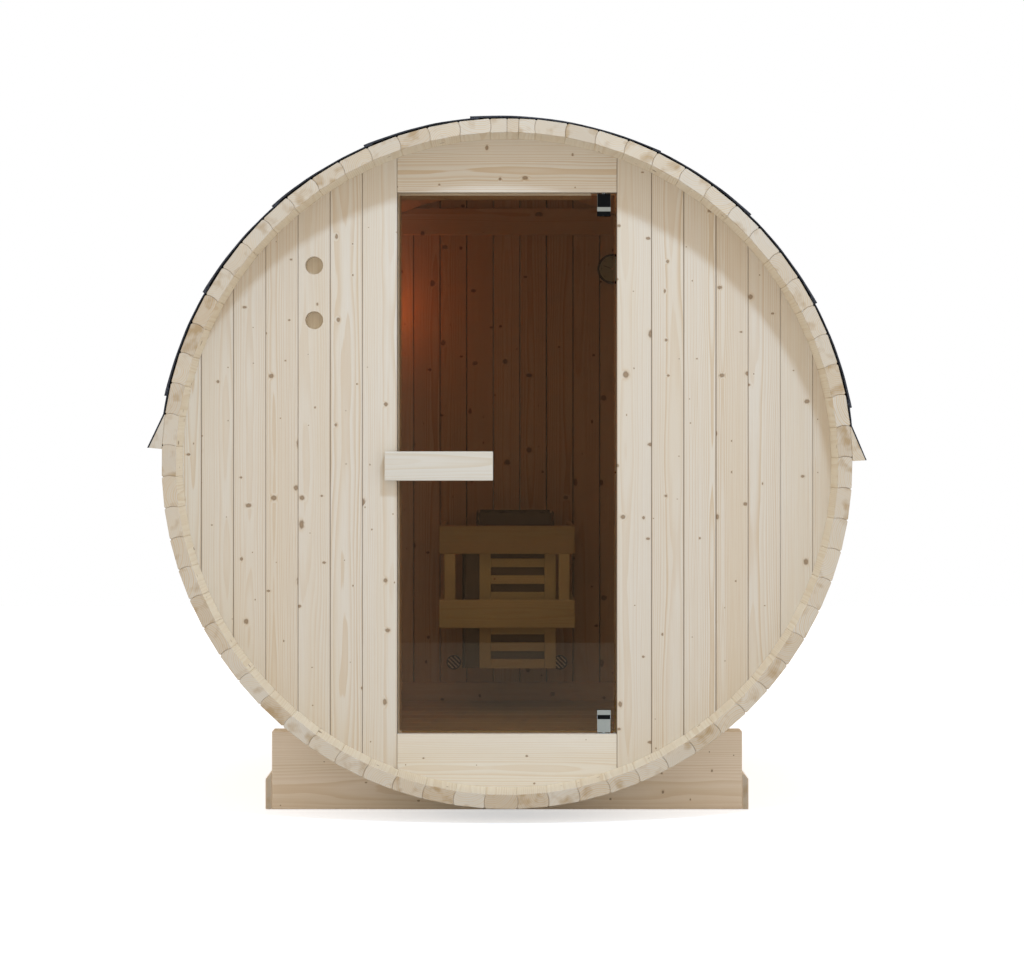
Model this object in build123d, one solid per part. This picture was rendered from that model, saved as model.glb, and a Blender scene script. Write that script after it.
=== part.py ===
from build123d import *
import math
import os

os.makedirs("parts", exist_ok=True)

# A small outdoor barrel sauna. Millimetres, +Z up, origin on the ground under the
# middle of the barrel, which lies along Y with its door towards -Y.

# Common allowances
cut_overrun = 5.0  # how far a cutting shape runs past the face that it cuts
fit_clearance = 0.3  # between pieces that seat on each other
joint_gap = 0.3  # open joint between neighbouring staves or boards
moving_clearance = 5.0  # between the door and anything fixed
half_turn = 180.0
quarter_turn = 90.0

# Barrel of staves with bead and cove joints
barrel_diameter = 1950.0  # across the flat outer faces of the staves
barrel_length = 1600.0
stave_thickness = 40.0
stave_width = 89.5  # outer face of a full stave
bead_rise = 2.8  # how far the bead stands out of the edge of a stave
key_width = 34.0  # straight key that closes the barrel at the top
least_closer_width = 24.0  # narrowest piece allowed beside the key
barrel_roll = 1.0  # degrees that the barrel is turned in its cradles
ground_clearance = 45.0  # from the ground to the lowest stave
group_count = 3  # stacks of staves on each side

# Croze grooves and end walls
front_overhang = 130.0
rear_overhang = 130.0
wall_thickness = 40.0
croze_depth = 12.0
wall_board_width = 93.0
door_board_width = 100.0  # upright boards beside the doorway
least_board_width = 20.0
cleat_height = 93.0
cleat_thickness = 20.0
upper_cleat_drop = 70.0  # from the crown of the end wall down to the cleat's top edge
lower_cleat_rise = 75.0  # from the foot of the end wall up to the cleat's lower edge

# Doorway and glass door
door_opening_width = 634.0
header_height = 165.0  # at the crown
sill_height = 165.0
door_recess = 12.0  # of the glass behind the face of the wall
glass_thickness = 8.0
door_side_gap = 6.0
door_end_gap = 8.0
stop_cover = 11.0  # how far a stop batten reaches over the doorway
hinge_inset = 37.0  # hinge axis from the edge of the doorway
clamp_width = 39.0
clamp_height = 60.0
clamp_plate_thickness = 5.0
clamp_bridge_thickness = 4.0
clamp_corner = 6.0  # cut off each free corner of the plates
pin_diameter = 10.0
pin_engagement = 16.0
pin_clearance = 0.05
bush_wall = 4.0
bush_flange_thickness = 1.5
bush_seat_clearance = 0.05

# Wooden door handles
handle_length = 312.0  # of the outer handle
handle_height = 84.0
handle_thickness = 28.0
handle_bevel = 3.0
handle_drop = 8.0  # below the barrel's axis
handle_overlap = 35.0  # of the outer handle over the door board
handle_wall_clearance = 6.0
inner_handle_length = 245.0
inner_handle_inset = 22.0  # from the edge of the doorway
handle_bolt_inset = 55.0
handle_spacer_width = 26.0  # across the corners of a hexagon
hexagon_sides = 6
handle_bolt_diameter = 10.0

# Air vents
vent_diameter = 52.0
vent_drop = 195.0  # upper hole below the round edge of the wall
vent_spacing = 158.0
vent_board_number = 1  # counted from the door board outwards
shutter_width = 88.0
shutter_margin = 40.0  # past the holes
shutter_thickness = 18.0
back_vent_board_number = 2  # counted from the middle board outwards
back_vent_bore = 40.0
back_vent_height = 225.0  # above the inner foot of the barrel
grille_diameter = 51.0
grille_thickness = 5.0
grille_slot_height = 5.0
grille_slot_slant = 45.0  # degrees
grille_slot_count = 3
grille_slot_length_share = 0.62
grille_slot_pitch_share = 0.2

# Duckboard floor
floor_height = 93.0  # walking surface above the inner foot of the barrel
slat_width = 88.0
slat_gap = 7.0
slat_thickness = 26.0
bearer_offset = 220.0
bearer_width = 45.0

# Cradles and side rails
cradle_inset = 250.0  # from the end of the barrel
cradle_thickness = 65.0
cradle_height = 230.0
cradle_width = 1384.0
side_rail_thickness = 19.0
side_rail_inner_height = 110.0
side_rail_outer_height = 90.0

# Steel hoops
hoop_width = 40.0
hoop_thickness = 1.0

# Eave battens and roofing felt
eave_angle = 85.4  # degrees from the top
batten_height = 99.0
batten_depth = 36.0
felt_thickness = 4.0
felt_exposure = 310.0  # of a course, measured round the barrel
felt_lap = 24.0
first_course_rise = 51.0  # from the top of the eave batten
least_ridge_width = 400.0

# Heater, its slatted screen and its guard
heater_left = 150.0
heater_right = 163.0
heater_floor_gap = 147.0
heater_height = 519.0
heater_depth = 302.0
heater_wall_gap = 30.0
heater_sheet = 2.5
heater_corner_radius = 18.0
heater_basin_depth = 90.0
heater_basin_left = 103.0
heater_basin_right = 158.0
hanger_width = 40.0
hanger_height = 300.0
hanger_inset = 60.0
stone_size = 84.0  # across the corners
stone_gap = 3.0
stone_side_share = 0.72
stone_chamfer_share = 0.25
stone_turns = (37.0, 71.0, 113.0)  # degrees from one stone to the next, about X, Y and Z
screen_width = 255.0
screen_height = 430.0
screen_thickness = 18.0
screen_stile = 38.0
screen_slot_height = 27.0
screen_slot_pitch = 56.0
screen_bottom_rail = 31.0
guard_projection = 420.0  # from the back wall
guard_rail_height = 92.5
guard_rail_thickness = 28.0
guard_rail_spacing = 245.0
guard_floor_gap = 288.0
guard_post_width = 37.0
guard_post_spacing = 380.0
guard_side_thickness = 16.5

# Dial thermometer
thermometer_diameter = 104.0
thermometer_depth = 20.0
thermometer_offset = 368.0
thermometer_drop = 194.0  # below the round of the barrel

# Places that follow from the sizes
outer_radius = barrel_diameter / 2
inner_radius = outer_radius - stave_thickness
axis_height = ground_clearance + outer_radius
front_end = -barrel_length / 2
back_end = barrel_length / 2
front_wall_face = front_end + front_overhang
front_wall_inside = front_wall_face + wall_thickness
back_wall_face = back_end - rear_overhang
back_wall_inside = back_wall_face - wall_thickness
wall_radius = inner_radius + croze_depth - fit_clearance
room_radius = inner_radius - fit_clearance
stave_angle = 2 * math.degrees(math.atan(stave_width / 2 / outer_radius))
corner_radius = outer_radius / math.cos(math.radians(stave_angle / 2))
inner_corner_radius = inner_radius / math.cos(math.radians(stave_angle / 2))
hoop_radius = corner_radius + fit_clearance
felt_radius = hoop_radius + hoop_thickness + fit_clearance
opening_half = door_opening_width / 2
opening_top = axis_height + wall_radius - header_height
opening_bottom = axis_height - wall_radius + sill_height
glass_front = front_wall_face + door_recess
glass_back = glass_front + glass_thickness
hinge_x = opening_half - hinge_inset
hinge_y = (glass_front + glass_back) / 2
room_foot = axis_height - inner_radius
floor_top = room_foot + floor_height
slat_foot = floor_top - slat_thickness


def block(x_range, y_range, z_range):
    """A plain squared piece between two corners."""
    spans = (x_range, y_range, z_range)
    middle = [(low + high) / 2 for low, high in spans]
    return Pos(*middle) * Box(*[high - low for low, high in spans])


def prism(edges, y_low, y_high):
    """A closed outline, drawn across the barrel, carried along it."""
    outline = Plane.XZ * make_face(edges)
    return Pos(0, y_low, 0) * extrude(outline, y_high - y_low, dir=(0, 1, 0))


def disc(radius, y_low, y_high):
    """A round about the barrel's axis."""
    middle = Pos(0, (y_low + y_high) / 2, axis_height)
    return middle * Cylinder(radius, y_high - y_low, rotation=(quarter_turn, 0, 0))


def upright_rod(radius, x, y, z_low, z_high):
    """A round rod that stands upright."""
    return Pos(x, y, (z_low + z_high) / 2) * Cylinder(radius, z_high - z_low)


def level_rod(radius, x, z, y_low, y_high):
    """A round rod that lies along the barrel."""
    middle = Pos(x, (y_low + y_high) / 2, z)
    return middle * Cylinder(radius, y_high - y_low, rotation=(quarter_turn, 0, 0))


def round_point(angle, radius):
    """A point across the barrel, by its clockwise angle from the top."""
    turn = math.radians(angle)
    return (radius * math.sin(turn), axis_height + radius * math.cos(turn))


def save(node, *pieces):
    """Write one node: a piece, or like pieces that stand apart."""
    solids = [solid for piece in pieces for solid in piece.solids()]
    export_step(solids[0] if len(solids) == 1 else Compound(children=solids), f"parts/{node}.step")


# Staves
def stave_edge(side, half_angle, bulge):
    """The joint edge of a stave: a bead, a cove or a straight edge, alike all round the barrel."""
    turn = math.radians(side * half_angle)

    def place(radius, shift):
        across = shift - side * joint_gap / 2
        return (
            radius * math.sin(turn) + across * math.cos(turn),
            radius * math.cos(turn) - across * math.sin(turn),
        )

    outside, inside = place(corner_radius, 0), place(inner_corner_radius, 0)
    if bulge == 0:
        return Line(outside, inside)
    crest = place((corner_radius + inner_corner_radius) / 2, bulge * bead_rise)
    return ThreePointArc(outside, crest, inside)


def stave(half_angle, low_bulge, high_bulge):
    """A stave at the top of the barrel, about its axis, grooved for both end walls."""
    low_edge = stave_edge(-1, half_angle, low_bulge)
    high_edge = stave_edge(1, half_angle, high_bulge)
    faces = [Line(low_edge @ end, high_edge @ end) for end in (0, 1)]
    body = prism([low_edge, high_edge, *faces], front_end, back_end)
    for wall_low in (front_wall_face, back_wall_inside):
        groove_y = (wall_low - fit_clearance, wall_low + wall_thickness + fit_clearance)
        groove_z = (inner_radius - cut_overrun, inner_radius + croze_depth)
        body -= block((-stave_width, stave_width), groove_y, groove_z)
    return body


def placed_stave(body, angle):
    return Pos(0, 0, axis_height) * Rot(0, angle, 0) * body


key_angle = 2 * math.degrees(math.atan(key_width / 2 / outer_radius))
least_closer_angle = math.degrees(math.atan(least_closer_width / outer_radius))
spare_angle = 2 * half_turn - key_angle - 2 * least_closer_angle - stave_angle
side_count = int(spare_angle / (2 * stave_angle))
closing_angle = 2 * half_turn - (2 * side_count + 1) * stave_angle
closer_angle = (closing_angle - key_angle) / 2
bottom_angle = half_turn + barrel_roll


def stave_angle_at(side, number):
    """Middle of a full stave, counted up from the bottom one on the right (-1) or left (1)."""
    return bottom_angle + side * number * stave_angle


# Every bead faces up, so the bottom stave has two and each closing piece a single cove.
save("bottom_stave", placed_stave(stave(stave_angle / 2, -1, 1), bottom_angle))
for side, side_name in ((1, "left"), (-1, "right")):
    full_stave = stave(stave_angle / 2, side, side)
    for group, group_name in enumerate(("lower_", "", "upper_")):
        first = 1 + side_count * group // group_count
        last = side_count * (group + 1) // group_count
        numbers = range(first, last + 1)
        save(
            f"{group_name}{side_name}_staves",
            *[placed_stave(full_stave, stave_angle_at(side, number)) for number in numbers],
        )
key_turn = bottom_angle + half_turn
closer_turn = (key_angle + closer_angle) / 2
save(
    "closing_staves",
    placed_stave(stave(closer_angle / 2, 1, 0), key_turn - closer_turn),
    placed_stave(stave(key_angle / 2, 0, 0), key_turn),
    placed_stave(stave(closer_angle / 2, 0, -1), key_turn + closer_turn),
)


# End walls
def wall_board(x_low, x_high, y_low):
    """An upright board, trimmed to the round of the croze."""
    x_range = (x_low + joint_gap / 2, x_high - joint_gap / 2)
    y_range = (y_low, y_low + wall_thickness)
    plank = block(x_range, y_range, (axis_height - wall_radius, axis_height + wall_radius))
    return plank & disc(wall_radius, *y_range)


def board_joints(first):
    """Joints from a first one outwards, a board apart, to past the edge of the wall."""
    joints = [first]
    while joints[-1] + wall_board_width < wall_radius - least_board_width:
        joints.append(joints[-1] + wall_board_width)
    return [*joints, wall_radius + joint_gap]


front_joints = [opening_half, *board_joints(opening_half + door_board_width)]
vent_x = -(front_joints[1] + (vent_board_number + 1 / 2) * wall_board_width)
vent_edge = axis_height + math.sqrt(wall_radius**2 - vent_x**2)
vent_heights = [vent_edge - vent_drop - number * vent_spacing for number in range(2)]


for side, name in ((-1, "left"), (1, "right")):
    boards = []
    for near, far in zip(front_joints, front_joints[1:]):
        x_low, x_high = sorted((side * near, side * far))
        board = wall_board(x_low, x_high, front_wall_face)
        if x_low < vent_x < x_high:
            for height in vent_heights:
                past_faces = (front_wall_face - cut_overrun, front_wall_inside + cut_overrun)
                board -= level_rod(vent_diameter / 2, vent_x, height, *past_faces)
            save("front_wall_vent_board", board)
        else:
            boards.append(board)
    save(f"front_wall_{name}_boards", *boards)

# Header and sill, mortised for the hinge bushes
front_disc = disc(wall_radius, front_wall_face, front_wall_inside)
infill_x = (-opening_half + joint_gap, opening_half - joint_gap)
infill_y = (front_wall_face, front_wall_inside)
bush_half = pin_diameter / 2 + pin_clearance + bush_wall
bush_length = pin_engagement + pin_diameter / 2


def hinge_block(half, z_range):
    """A square block about the hinge's axis."""
    return block((hinge_x - half, hinge_x + half), (hinge_y - half, hinge_y + half), z_range)


for name, edge, way in (("header", opening_top, 1), ("sill", opening_bottom, -1)):
    past_rim = edge + way * wall_radius
    board = block(infill_x, infill_y, sorted((edge, past_rim))) & front_disc
    bore_z = sorted((edge - way * cut_overrun, edge + way * (bush_length + fit_clearance)))
    board -= hinge_block(bush_half + bush_seat_clearance, bore_z)
    save(f"front_wall_{name}", board)

back_joints = board_joints(wall_board_width / 2)
back_vent_x = back_vent_board_number * wall_board_width
back_vent_z = room_foot + back_vent_height
back_boards = [wall_board(-back_joints[0], back_joints[0], back_wall_inside)]
for near, far in zip(back_joints, back_joints[1:]):
    for x_low, x_high in ((near, far), (-far, -near)):
        board = wall_board(x_low, x_high, back_wall_inside)
        for vent in (-back_vent_x, back_vent_x):
            if x_low < vent < x_high:
                past_faces = (back_wall_inside - cut_overrun, back_wall_face + cut_overrun)
                board -= level_rod(back_vent_bore / 2, vent, back_vent_z, *past_faces)
        back_boards.append(board)
save("back_wall_boards", *back_boards)

cleat_y = (back_wall_inside - cleat_thickness, back_wall_inside)
upper_cleat_top = axis_height + wall_radius - upper_cleat_drop
lower_cleat_foot = axis_height - wall_radius + lower_cleat_rise
cleats = []
for cleat_z in (
    (upper_cleat_top - cleat_height, upper_cleat_top),
    (lower_cleat_foot, lower_cleat_foot + cleat_height),
):
    cleats.append(block((-room_radius, room_radius), cleat_y, cleat_z) & disc(room_radius, *cleat_y))
save("back_wall_cleats", *cleats)

# Stops behind the free edge and the top of the glass, which end short of the hinge
stop_y = (glass_back + moving_clearance, front_wall_inside)
glass_edge_reach = hinge_inset - door_side_gap
stop_end = hinge_x - glass_edge_reach - moving_clearance
stop_left = infill_x[0]
side_stop = block((stop_left, -opening_half + stop_cover), stop_y, (opening_bottom, opening_top))
top_stop_z = (opening_top - door_end_gap - stop_cover, opening_top)
top_stop = block((-opening_half + stop_cover + joint_gap, stop_end), stop_y, top_stop_z)
save("door_stop_battens", side_stop, top_stop)

shutter_x = (vent_x - shutter_width / 2, vent_x + shutter_width / 2)
shutter_y = (front_wall_inside, front_wall_inside + shutter_thickness)
shutter_reach = vent_diameter / 2 + shutter_margin
shutter_z = (vent_heights[1] - shutter_reach, vent_heights[0] + shutter_reach)
save("vent_shutter", block(shutter_x, shutter_y, shutter_z))


# Louvred grilles on the inner face of the back wall
def grille(x):
    y_low = back_wall_inside - grille_thickness
    disc_body = level_rod(grille_diameter / 2, x, back_vent_z, y_low, y_low + grille_thickness)
    slot_half = grille_diameter * grille_slot_length_share / 2
    for number in range(grille_slot_count):
        level = (number - (grille_slot_count - 1) / 2) * grille_diameter * grille_slot_pitch_share
        slot = Box(2 * slot_half, grille_thickness + 2 * cut_overrun, grille_slot_height)
        middle = Pos(x, y_low + grille_thickness / 2, back_vent_z)
        disc_body -= middle * Rot(0, grille_slot_slant, 0) * Pos(0, 0, level) * slot
    return disc_body


save("back_vent_grilles", grille(-back_vent_x), grille(back_vent_x))

# Glass door
bolt_radius = handle_bolt_diameter / 2
handle_y = glass_front - door_recess - handle_wall_clearance
handle_gap = glass_front - handle_y
outer_handle_left = -opening_half - handle_overlap
inner_handle_left = -opening_half + inner_handle_inset
outer_handle_x = (outer_handle_left, outer_handle_left + handle_length)
inner_handle_x = (inner_handle_left, inner_handle_left + inner_handle_length)
handle_middle = axis_height - handle_drop
handle_z = (handle_middle - handle_height / 2, handle_middle + handle_height / 2)
bolt_places = (inner_handle_x[0] + handle_bolt_inset, outer_handle_x[1] - handle_bolt_inset)
glass_x = (-opening_half + door_side_gap, opening_half - door_side_gap)
glass_z = (opening_bottom + door_end_gap, opening_top - door_end_gap)
glass = block(glass_x, (glass_front, glass_back), glass_z)
for bolt_x in bolt_places:
    hole_y = (glass_front - cut_overrun, glass_back + cut_overrun)
    glass -= level_rod(bolt_radius + fit_clearance, bolt_x, handle_middle, *hole_y)
save("door_glass", glass)


def handle(x_range, y_range):
    plank = block(x_range, y_range, handle_z)
    return chamfer(plank.edges(), handle_bevel)


outer_handle_y = (handle_y - handle_thickness, handle_y)
inner_handle_y = (glass_back + handle_gap, glass_back + handle_gap + handle_thickness)
save("outer_handle", handle(outer_handle_x, outer_handle_y))
save("inner_handle", handle(inner_handle_x, inner_handle_y))
bolts = []
for bolt_x in bolt_places:
    bolt = level_rod(bolt_radius, bolt_x, handle_middle, outer_handle_y[1], inner_handle_y[0])
    for spacer_y in ((outer_handle_y[1], glass_front), (glass_back, inner_handle_y[0])):
        outline = Plane.XZ * RegularPolygon(handle_spacer_width / 2, hexagon_sides)
        spacer = extrude(outline, spacer_y[1] - spacer_y[0], dir=(0, 1, 0))
        bolt += Pos(bolt_x, spacer_y[0], handle_middle) * spacer
    bolts.append(bolt)
save("handle_bolts", *bolts)

# Hinge clamps over the ends of the glass, with pins that turn in bushes
clamp_x = (hinge_x - clamp_width / 2, hinge_x + clamp_width / 2)
clamp_y = (glass_front - clamp_plate_thickness, glass_back + clamp_plate_thickness)
clamps = []
bushes = []
for glass_end, wall_edge, way in ((glass_z[1], opening_top, 1), (glass_z[0], opening_bottom, -1)):
    bridge_end = glass_end + way * clamp_bridge_thickness
    plate_end = glass_end - way * clamp_height
    clamp = block(clamp_x, clamp_y, sorted((bridge_end, plate_end)))
    clamp -= block(
        (clamp_x[0] - cut_overrun, clamp_x[1] + cut_overrun),
        (glass_front, glass_back),
        sorted((glass_end, plate_end - way * cut_overrun)),
    )
    cross_edges = clamp.edges().filter_by(Axis.Y)
    free_corners = [edge for edge in cross_edges if abs(edge.center().Z - plate_end) < fit_clearance]
    clamp = chamfer(free_corners, clamp_corner)
    pin_end = wall_edge + way * pin_engagement
    clamp += upright_rod(pin_diameter / 2, hinge_x, hinge_y, *sorted((bridge_end, pin_end)))
    clamps.append(clamp)
    bush_z = sorted((wall_edge, wall_edge + way * bush_length))
    bush = hinge_block(bush_half, bush_z)
    flange_end = wall_edge - way * bush_flange_thickness
    bush += block(clamp_x, clamp_y, sorted((wall_edge, flange_end)))
    bore_end = wall_edge + way * (bush_length + cut_overrun)
    bore_z = sorted((flange_end - way * cut_overrun, bore_end))
    bush -= upright_rod(pin_diameter / 2 + pin_clearance, hinge_x, hinge_y, *bore_z)
    bushes.append(bush)
save("hinge_clamps", *clamps)
save("hinge_bushes", *bushes)

# Duckboard floor, cut to the round of the barrel
floor_y = (front_wall_inside + fit_clearance, back_wall_inside - cleat_thickness - fit_clearance)
floor_length = floor_y[1] - floor_y[0]
slat_pitch = slat_width + slat_gap
slat_count = int((floor_length + slat_gap) / slat_pitch)
first_slat = floor_y[0] + (floor_length - slat_count * slat_pitch + slat_gap) / 2
room = disc(room_radius, *floor_y)
slats = []
for number in range(slat_count):
    slat_y = first_slat + number * slat_pitch
    plank = block((-room_radius, room_radius), (slat_y, slat_y + slat_width), (slat_foot, floor_top))
    slats.append(plank & room)
save("floor_slats", *slats)
bearers = []
for side in (-1, 1):
    bearer_x = (side * bearer_offset - bearer_width / 2, side * bearer_offset + bearer_width / 2)
    bearers.append(block(bearer_x, floor_y, (room_foot, slat_foot)) & room)
save("floor_bearers", *bearers)


# Cradles under the barrel and the rails that tie them
def cradle(y_low):
    y_range = (y_low, y_low + cradle_thickness)
    body = block((-cradle_width / 2, cradle_width / 2), y_range, (0, cradle_height))
    return body - disc(corner_radius + fit_clearance, y_low - cut_overrun, y_range[1] + cut_overrun)


front_cradle_y = front_end + cradle_inset
rear_cradle_y = back_end - cradle_inset - cradle_thickness
save("front_cradle", cradle(front_cradle_y))
save("rear_cradle", cradle(rear_cradle_y))
for side, name in ((-1, "left_side_rail"), (1, "right_side_rail")):
    inside = side * cradle_width / 2
    outside = inside + side * side_rail_thickness
    foot = [(inside, 0), (outside, 0)]
    crown = [(outside, side_rail_outer_height), (inside, side_rail_inner_height)]
    section = Polyline(*foot, *crown, close=True)
    save(name, prism(section, front_cradle_y, rear_cradle_y + cradle_thickness))

# Hoops round the staves, over the end walls, bent at every joint between staves
hoop_spans = []
for wall_low in (front_wall_face, back_wall_inside):
    hoop_middle = wall_low + wall_thickness / 2
    hoop_spans.append((hoop_middle - hoop_width / 2, hoop_middle + hoop_width / 2))
joint_angles = [key_turn + half * key_angle for half in (-1 / 2, 1 / 2)]
for side in (1, -1):
    joint_angles += [stave_angle_at(side, number + 1 / 2) for number in range(side_count + 1)]
joint_angles = sorted(angle % (2 * half_turn) for angle in joint_angles)


def hoop_outline(radius):
    return make_face(Polyline(*[round_point(angle, radius) for angle in joint_angles], close=True))


band_outline = Plane.XZ * (hoop_outline(hoop_radius + hoop_thickness) - hoop_outline(hoop_radius))
for name, (near, far) in zip(("front_hoop", "rear_hoop"), hoop_spans):
    save(name, Pos(0, near, 0) * extrude(band_outline, far - near, dir=(0, 1, 0)))

# Eave battens, each nailed over one stave with its deep edge down and notched over the hoops
eave_number = round((half_turn - eave_angle) / stave_angle)


def eave_frame(side):
    """Places on the eave stave, from its upper edge down and from its face outwards."""
    turn = math.radians(stave_angle_at(side, eave_number))
    along = (-side * math.cos(turn), side * math.sin(turn))
    out = (math.sin(turn), math.cos(turn))

    def place(down, proud):
        across = down - stave_width / 2
        reach = outer_radius + fit_clearance + proud
        return (out[0] * reach + along[0] * across, axis_height + out[1] * reach + along[1] * across)

    return place


for side, name in ((1, "left_eave_batten"), (-1, "right_eave_batten")):
    place = eave_frame(side)
    corners = (place(0, 0), place(batten_height, batten_depth), place(batten_height, 0))
    section = Polyline(*corners, close=True)
    batten = prism(section, front_end, back_end)
    for near, far in hoop_spans:
        batten -= disc(felt_radius, near - fit_clearance, far + fit_clearance)
    save(name, batten)

# Roofing felt in courses that lap downwards
exposure_angle = math.degrees(felt_exposure / felt_radius)
lap_angle = math.degrees(felt_lap / felt_radius)
lap_share = felt_lap / (felt_exposure + felt_lap)
lap_lift = (felt_thickness + fit_clearance) / (1 - 2 * lap_share)
batten_top_angle = eave_number * stave_angle + stave_angle / 2
first_course_angle = batten_top_angle + math.degrees(first_course_rise / outer_radius)
roof_angle = 2 * (half_turn - first_course_angle)
course_count = int((roof_angle - math.degrees(least_ridge_width / felt_radius)) / exposure_angle)
right_course_count = course_count // 2
left_course_count = course_count - right_course_count


def felt_strip(angles, lifts):
    """A strip round the barrel, with its height above the staves given at three places."""
    inner_radii = [felt_radius + lift for lift in lifts]
    inside = [round_point(angle, radius) for angle, radius in zip(angles, inner_radii)]
    outside = [round_point(angle, radius + felt_thickness) for angle, radius in zip(angles, inner_radii)]
    edges = [
        ThreePointArc(*inside),
        ThreePointArc(*outside),
        Line(inside[0], outside[0]),
        Line(inside[2], outside[2]),
    ]
    return prism(edges, front_end, back_end)


def course(side, number):
    low = first_course_angle + number * exposure_angle
    high = low + exposure_angle + lap_angle
    angles = [bottom_angle + side * angle for angle in (low, (low + high) / 2, high)]
    return felt_strip(angles, (lap_lift, lap_lift / 2, 0))


def eave_strip(side):
    """The lowest strip, from under the first course down over the batten to its tip."""
    place = eave_frame(side)
    slope = math.atan2(batten_depth, batten_height)
    rise = fit_clearance / math.cos(slope)
    thick = felt_thickness / math.cos(slope)
    top_angle = bottom_angle + side * (first_course_angle + lap_angle)
    bend_angle = bottom_angle + side * batten_top_angle
    angles = (top_angle, (top_angle + bend_angle) / 2, bend_angle)
    inside = [round_point(angle, felt_radius) for angle in angles]
    outside = [round_point(angle, felt_radius + felt_thickness) for angle in angles]
    inner_tip = place(batten_height, batten_depth + rise)
    outer_tip = place(batten_height, batten_depth + rise + thick)
    edges = [
        ThreePointArc(*inside),
        Line(inside[2], inner_tip),
        Line(inner_tip, outer_tip),
        Line(outer_tip, outside[2]),
        ThreePointArc(*outside),
        Line(inside[0], outside[0]),
    ]
    return prism(edges, front_end, back_end)


for side, name, count in ((1, "left", left_course_count), (-1, "right", right_course_count)):
    courses = [course(side, number) for number in range(count)]
    save(f"{name}_roof_felt", eave_strip(side), *courses)
ridge_ends = [
    bottom_angle - first_course_angle - right_course_count * exposure_angle,
    bottom_angle + first_course_angle + left_course_count * exposure_angle,
]
ridge_right = ridge_ends[0] + 2 * half_turn
ridge_angles = (ridge_ends[1], (ridge_ends[1] + ridge_right) / 2, ridge_right)
save("ridge_felt", felt_strip(ridge_angles, (lap_lift, lap_lift, lap_lift)))

# Heater: a steel casing with an open basin of stones on top, hung on the back wall
heater_back = back_wall_inside - heater_wall_gap
heater_front = heater_back - heater_depth
heater_foot = floor_top + heater_floor_gap
heater_top = heater_foot + heater_height
basin_floor = heater_top - heater_basin_depth
casing_x = (-heater_left, heater_right)
casing_y = (heater_front, heater_back)
basin_x = (-heater_basin_left, heater_basin_right)
casing = Part()
for shell_x, shell_z in ((casing_x, (heater_foot, basin_floor)), (basin_x, (basin_floor, heater_top))):
    shell = block(shell_x, casing_y, shell_z)
    casing += fillet(shell.edges().filter_by(Axis.Z), heater_corner_radius)
for shell_x, cavity_z in (
    (casing_x, (heater_foot + heater_sheet, basin_floor - heater_sheet)),
    (basin_x, (basin_floor, heater_top + cut_overrun)),
):
    cavity_x = (shell_x[0] + heater_sheet, shell_x[1] - heater_sheet)
    cavity_y = (heater_front + heater_sheet, heater_back - heater_sheet)
    casing -= block(cavity_x, cavity_y, cavity_z)
save("heater_casing", casing)

# A layer of broken stones on the basin's floor
stone_pitch = stone_size + stone_gap
stone_side = stone_size * stone_side_share
across_count = int((basin_x[1] - basin_x[0] - 2 * heater_sheet) / stone_pitch)
deep_count = int((casing_y[1] - casing_y[0] - 2 * heater_sheet) / stone_pitch)
stones = []
for number in range(across_count * deep_count):
    across, deep = divmod(number, deep_count)
    stone_x = (basin_x[0] + basin_x[1]) / 2 + (across - (across_count - 1) / 2) * stone_pitch
    stone_y = (casing_y[0] + casing_y[1]) / 2 + (deep - (deep_count - 1) / 2) * stone_pitch
    lump = Box(stone_side, stone_side, stone_side)
    lump = chamfer(lump.edges(), stone_side * stone_chamfer_share)
    lump = Rot(*[number * turn for turn in stone_turns]) * lump
    stone_foot = lump.bounding_box().min.Z
    stones.append(Pos(stone_x, stone_y, basin_floor + fit_clearance - stone_foot) * lump)
save("heater_stones", *stones)
hangers = []
hanger_y = (heater_back, back_wall_inside)
hanger_z = (heater_top - hanger_height, heater_top)
for hanger_x in (-heater_left + hanger_inset, heater_right - hanger_inset - hanger_width):
    hangers.append(block((hanger_x, hanger_x + hanger_width), hanger_y, hanger_z))
save("heater_hangers", *hangers)

screen_x = (heater_right - screen_width, heater_right)
screen_y = (heater_front - screen_thickness, heater_front)
screen = block(screen_x, screen_y, (heater_foot, heater_foot + screen_height))
slot_x = (screen_x[0] + screen_stile, screen_x[1] - screen_stile)
slot_count = int((screen_height - screen_bottom_rail) / screen_slot_pitch)
for number in range(slot_count):
    slot_low = heater_foot + screen_bottom_rail + number * screen_slot_pitch
    past_faces = (screen_y[0] - cut_overrun, screen_y[1] + cut_overrun)
    screen -= block(slot_x, past_faces, (slot_low, slot_low + screen_slot_height))
save("heater_screen", screen)

guard_front = back_wall_inside - guard_projection
guard_levels = [floor_top + guard_floor_gap + number * guard_rail_spacing for number in range(2)]
post_outside = guard_post_spacing / 2 + guard_post_width / 2
guard_half = post_outside + guard_side_thickness
front_rail_y = (guard_front, guard_front + guard_rail_thickness)
post_y = (front_rail_y[1], front_rail_y[1] + guard_post_width)
front_rails = []
side_rails = []
for level in guard_levels:
    rail_z = (level, level + guard_rail_height)
    front_rails.append(block((-guard_half, guard_half), front_rail_y, rail_z))
    for side in (-1, 1):
        rail_x = sorted((side * post_outside, side * guard_half))
        side_rails.append(block(rail_x, (front_rail_y[1], back_wall_inside), rail_z))
save("guard_front_rails", *front_rails)
save("guard_side_rails", *side_rails)
posts = []
for side in (-1, 1):
    post_x = sorted((side * post_outside, side * (post_outside - guard_post_width)))
    posts.append(block(post_x, post_y, (guard_levels[0], guard_levels[1] + guard_rail_height)))
save("guard_posts", *posts)

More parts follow.
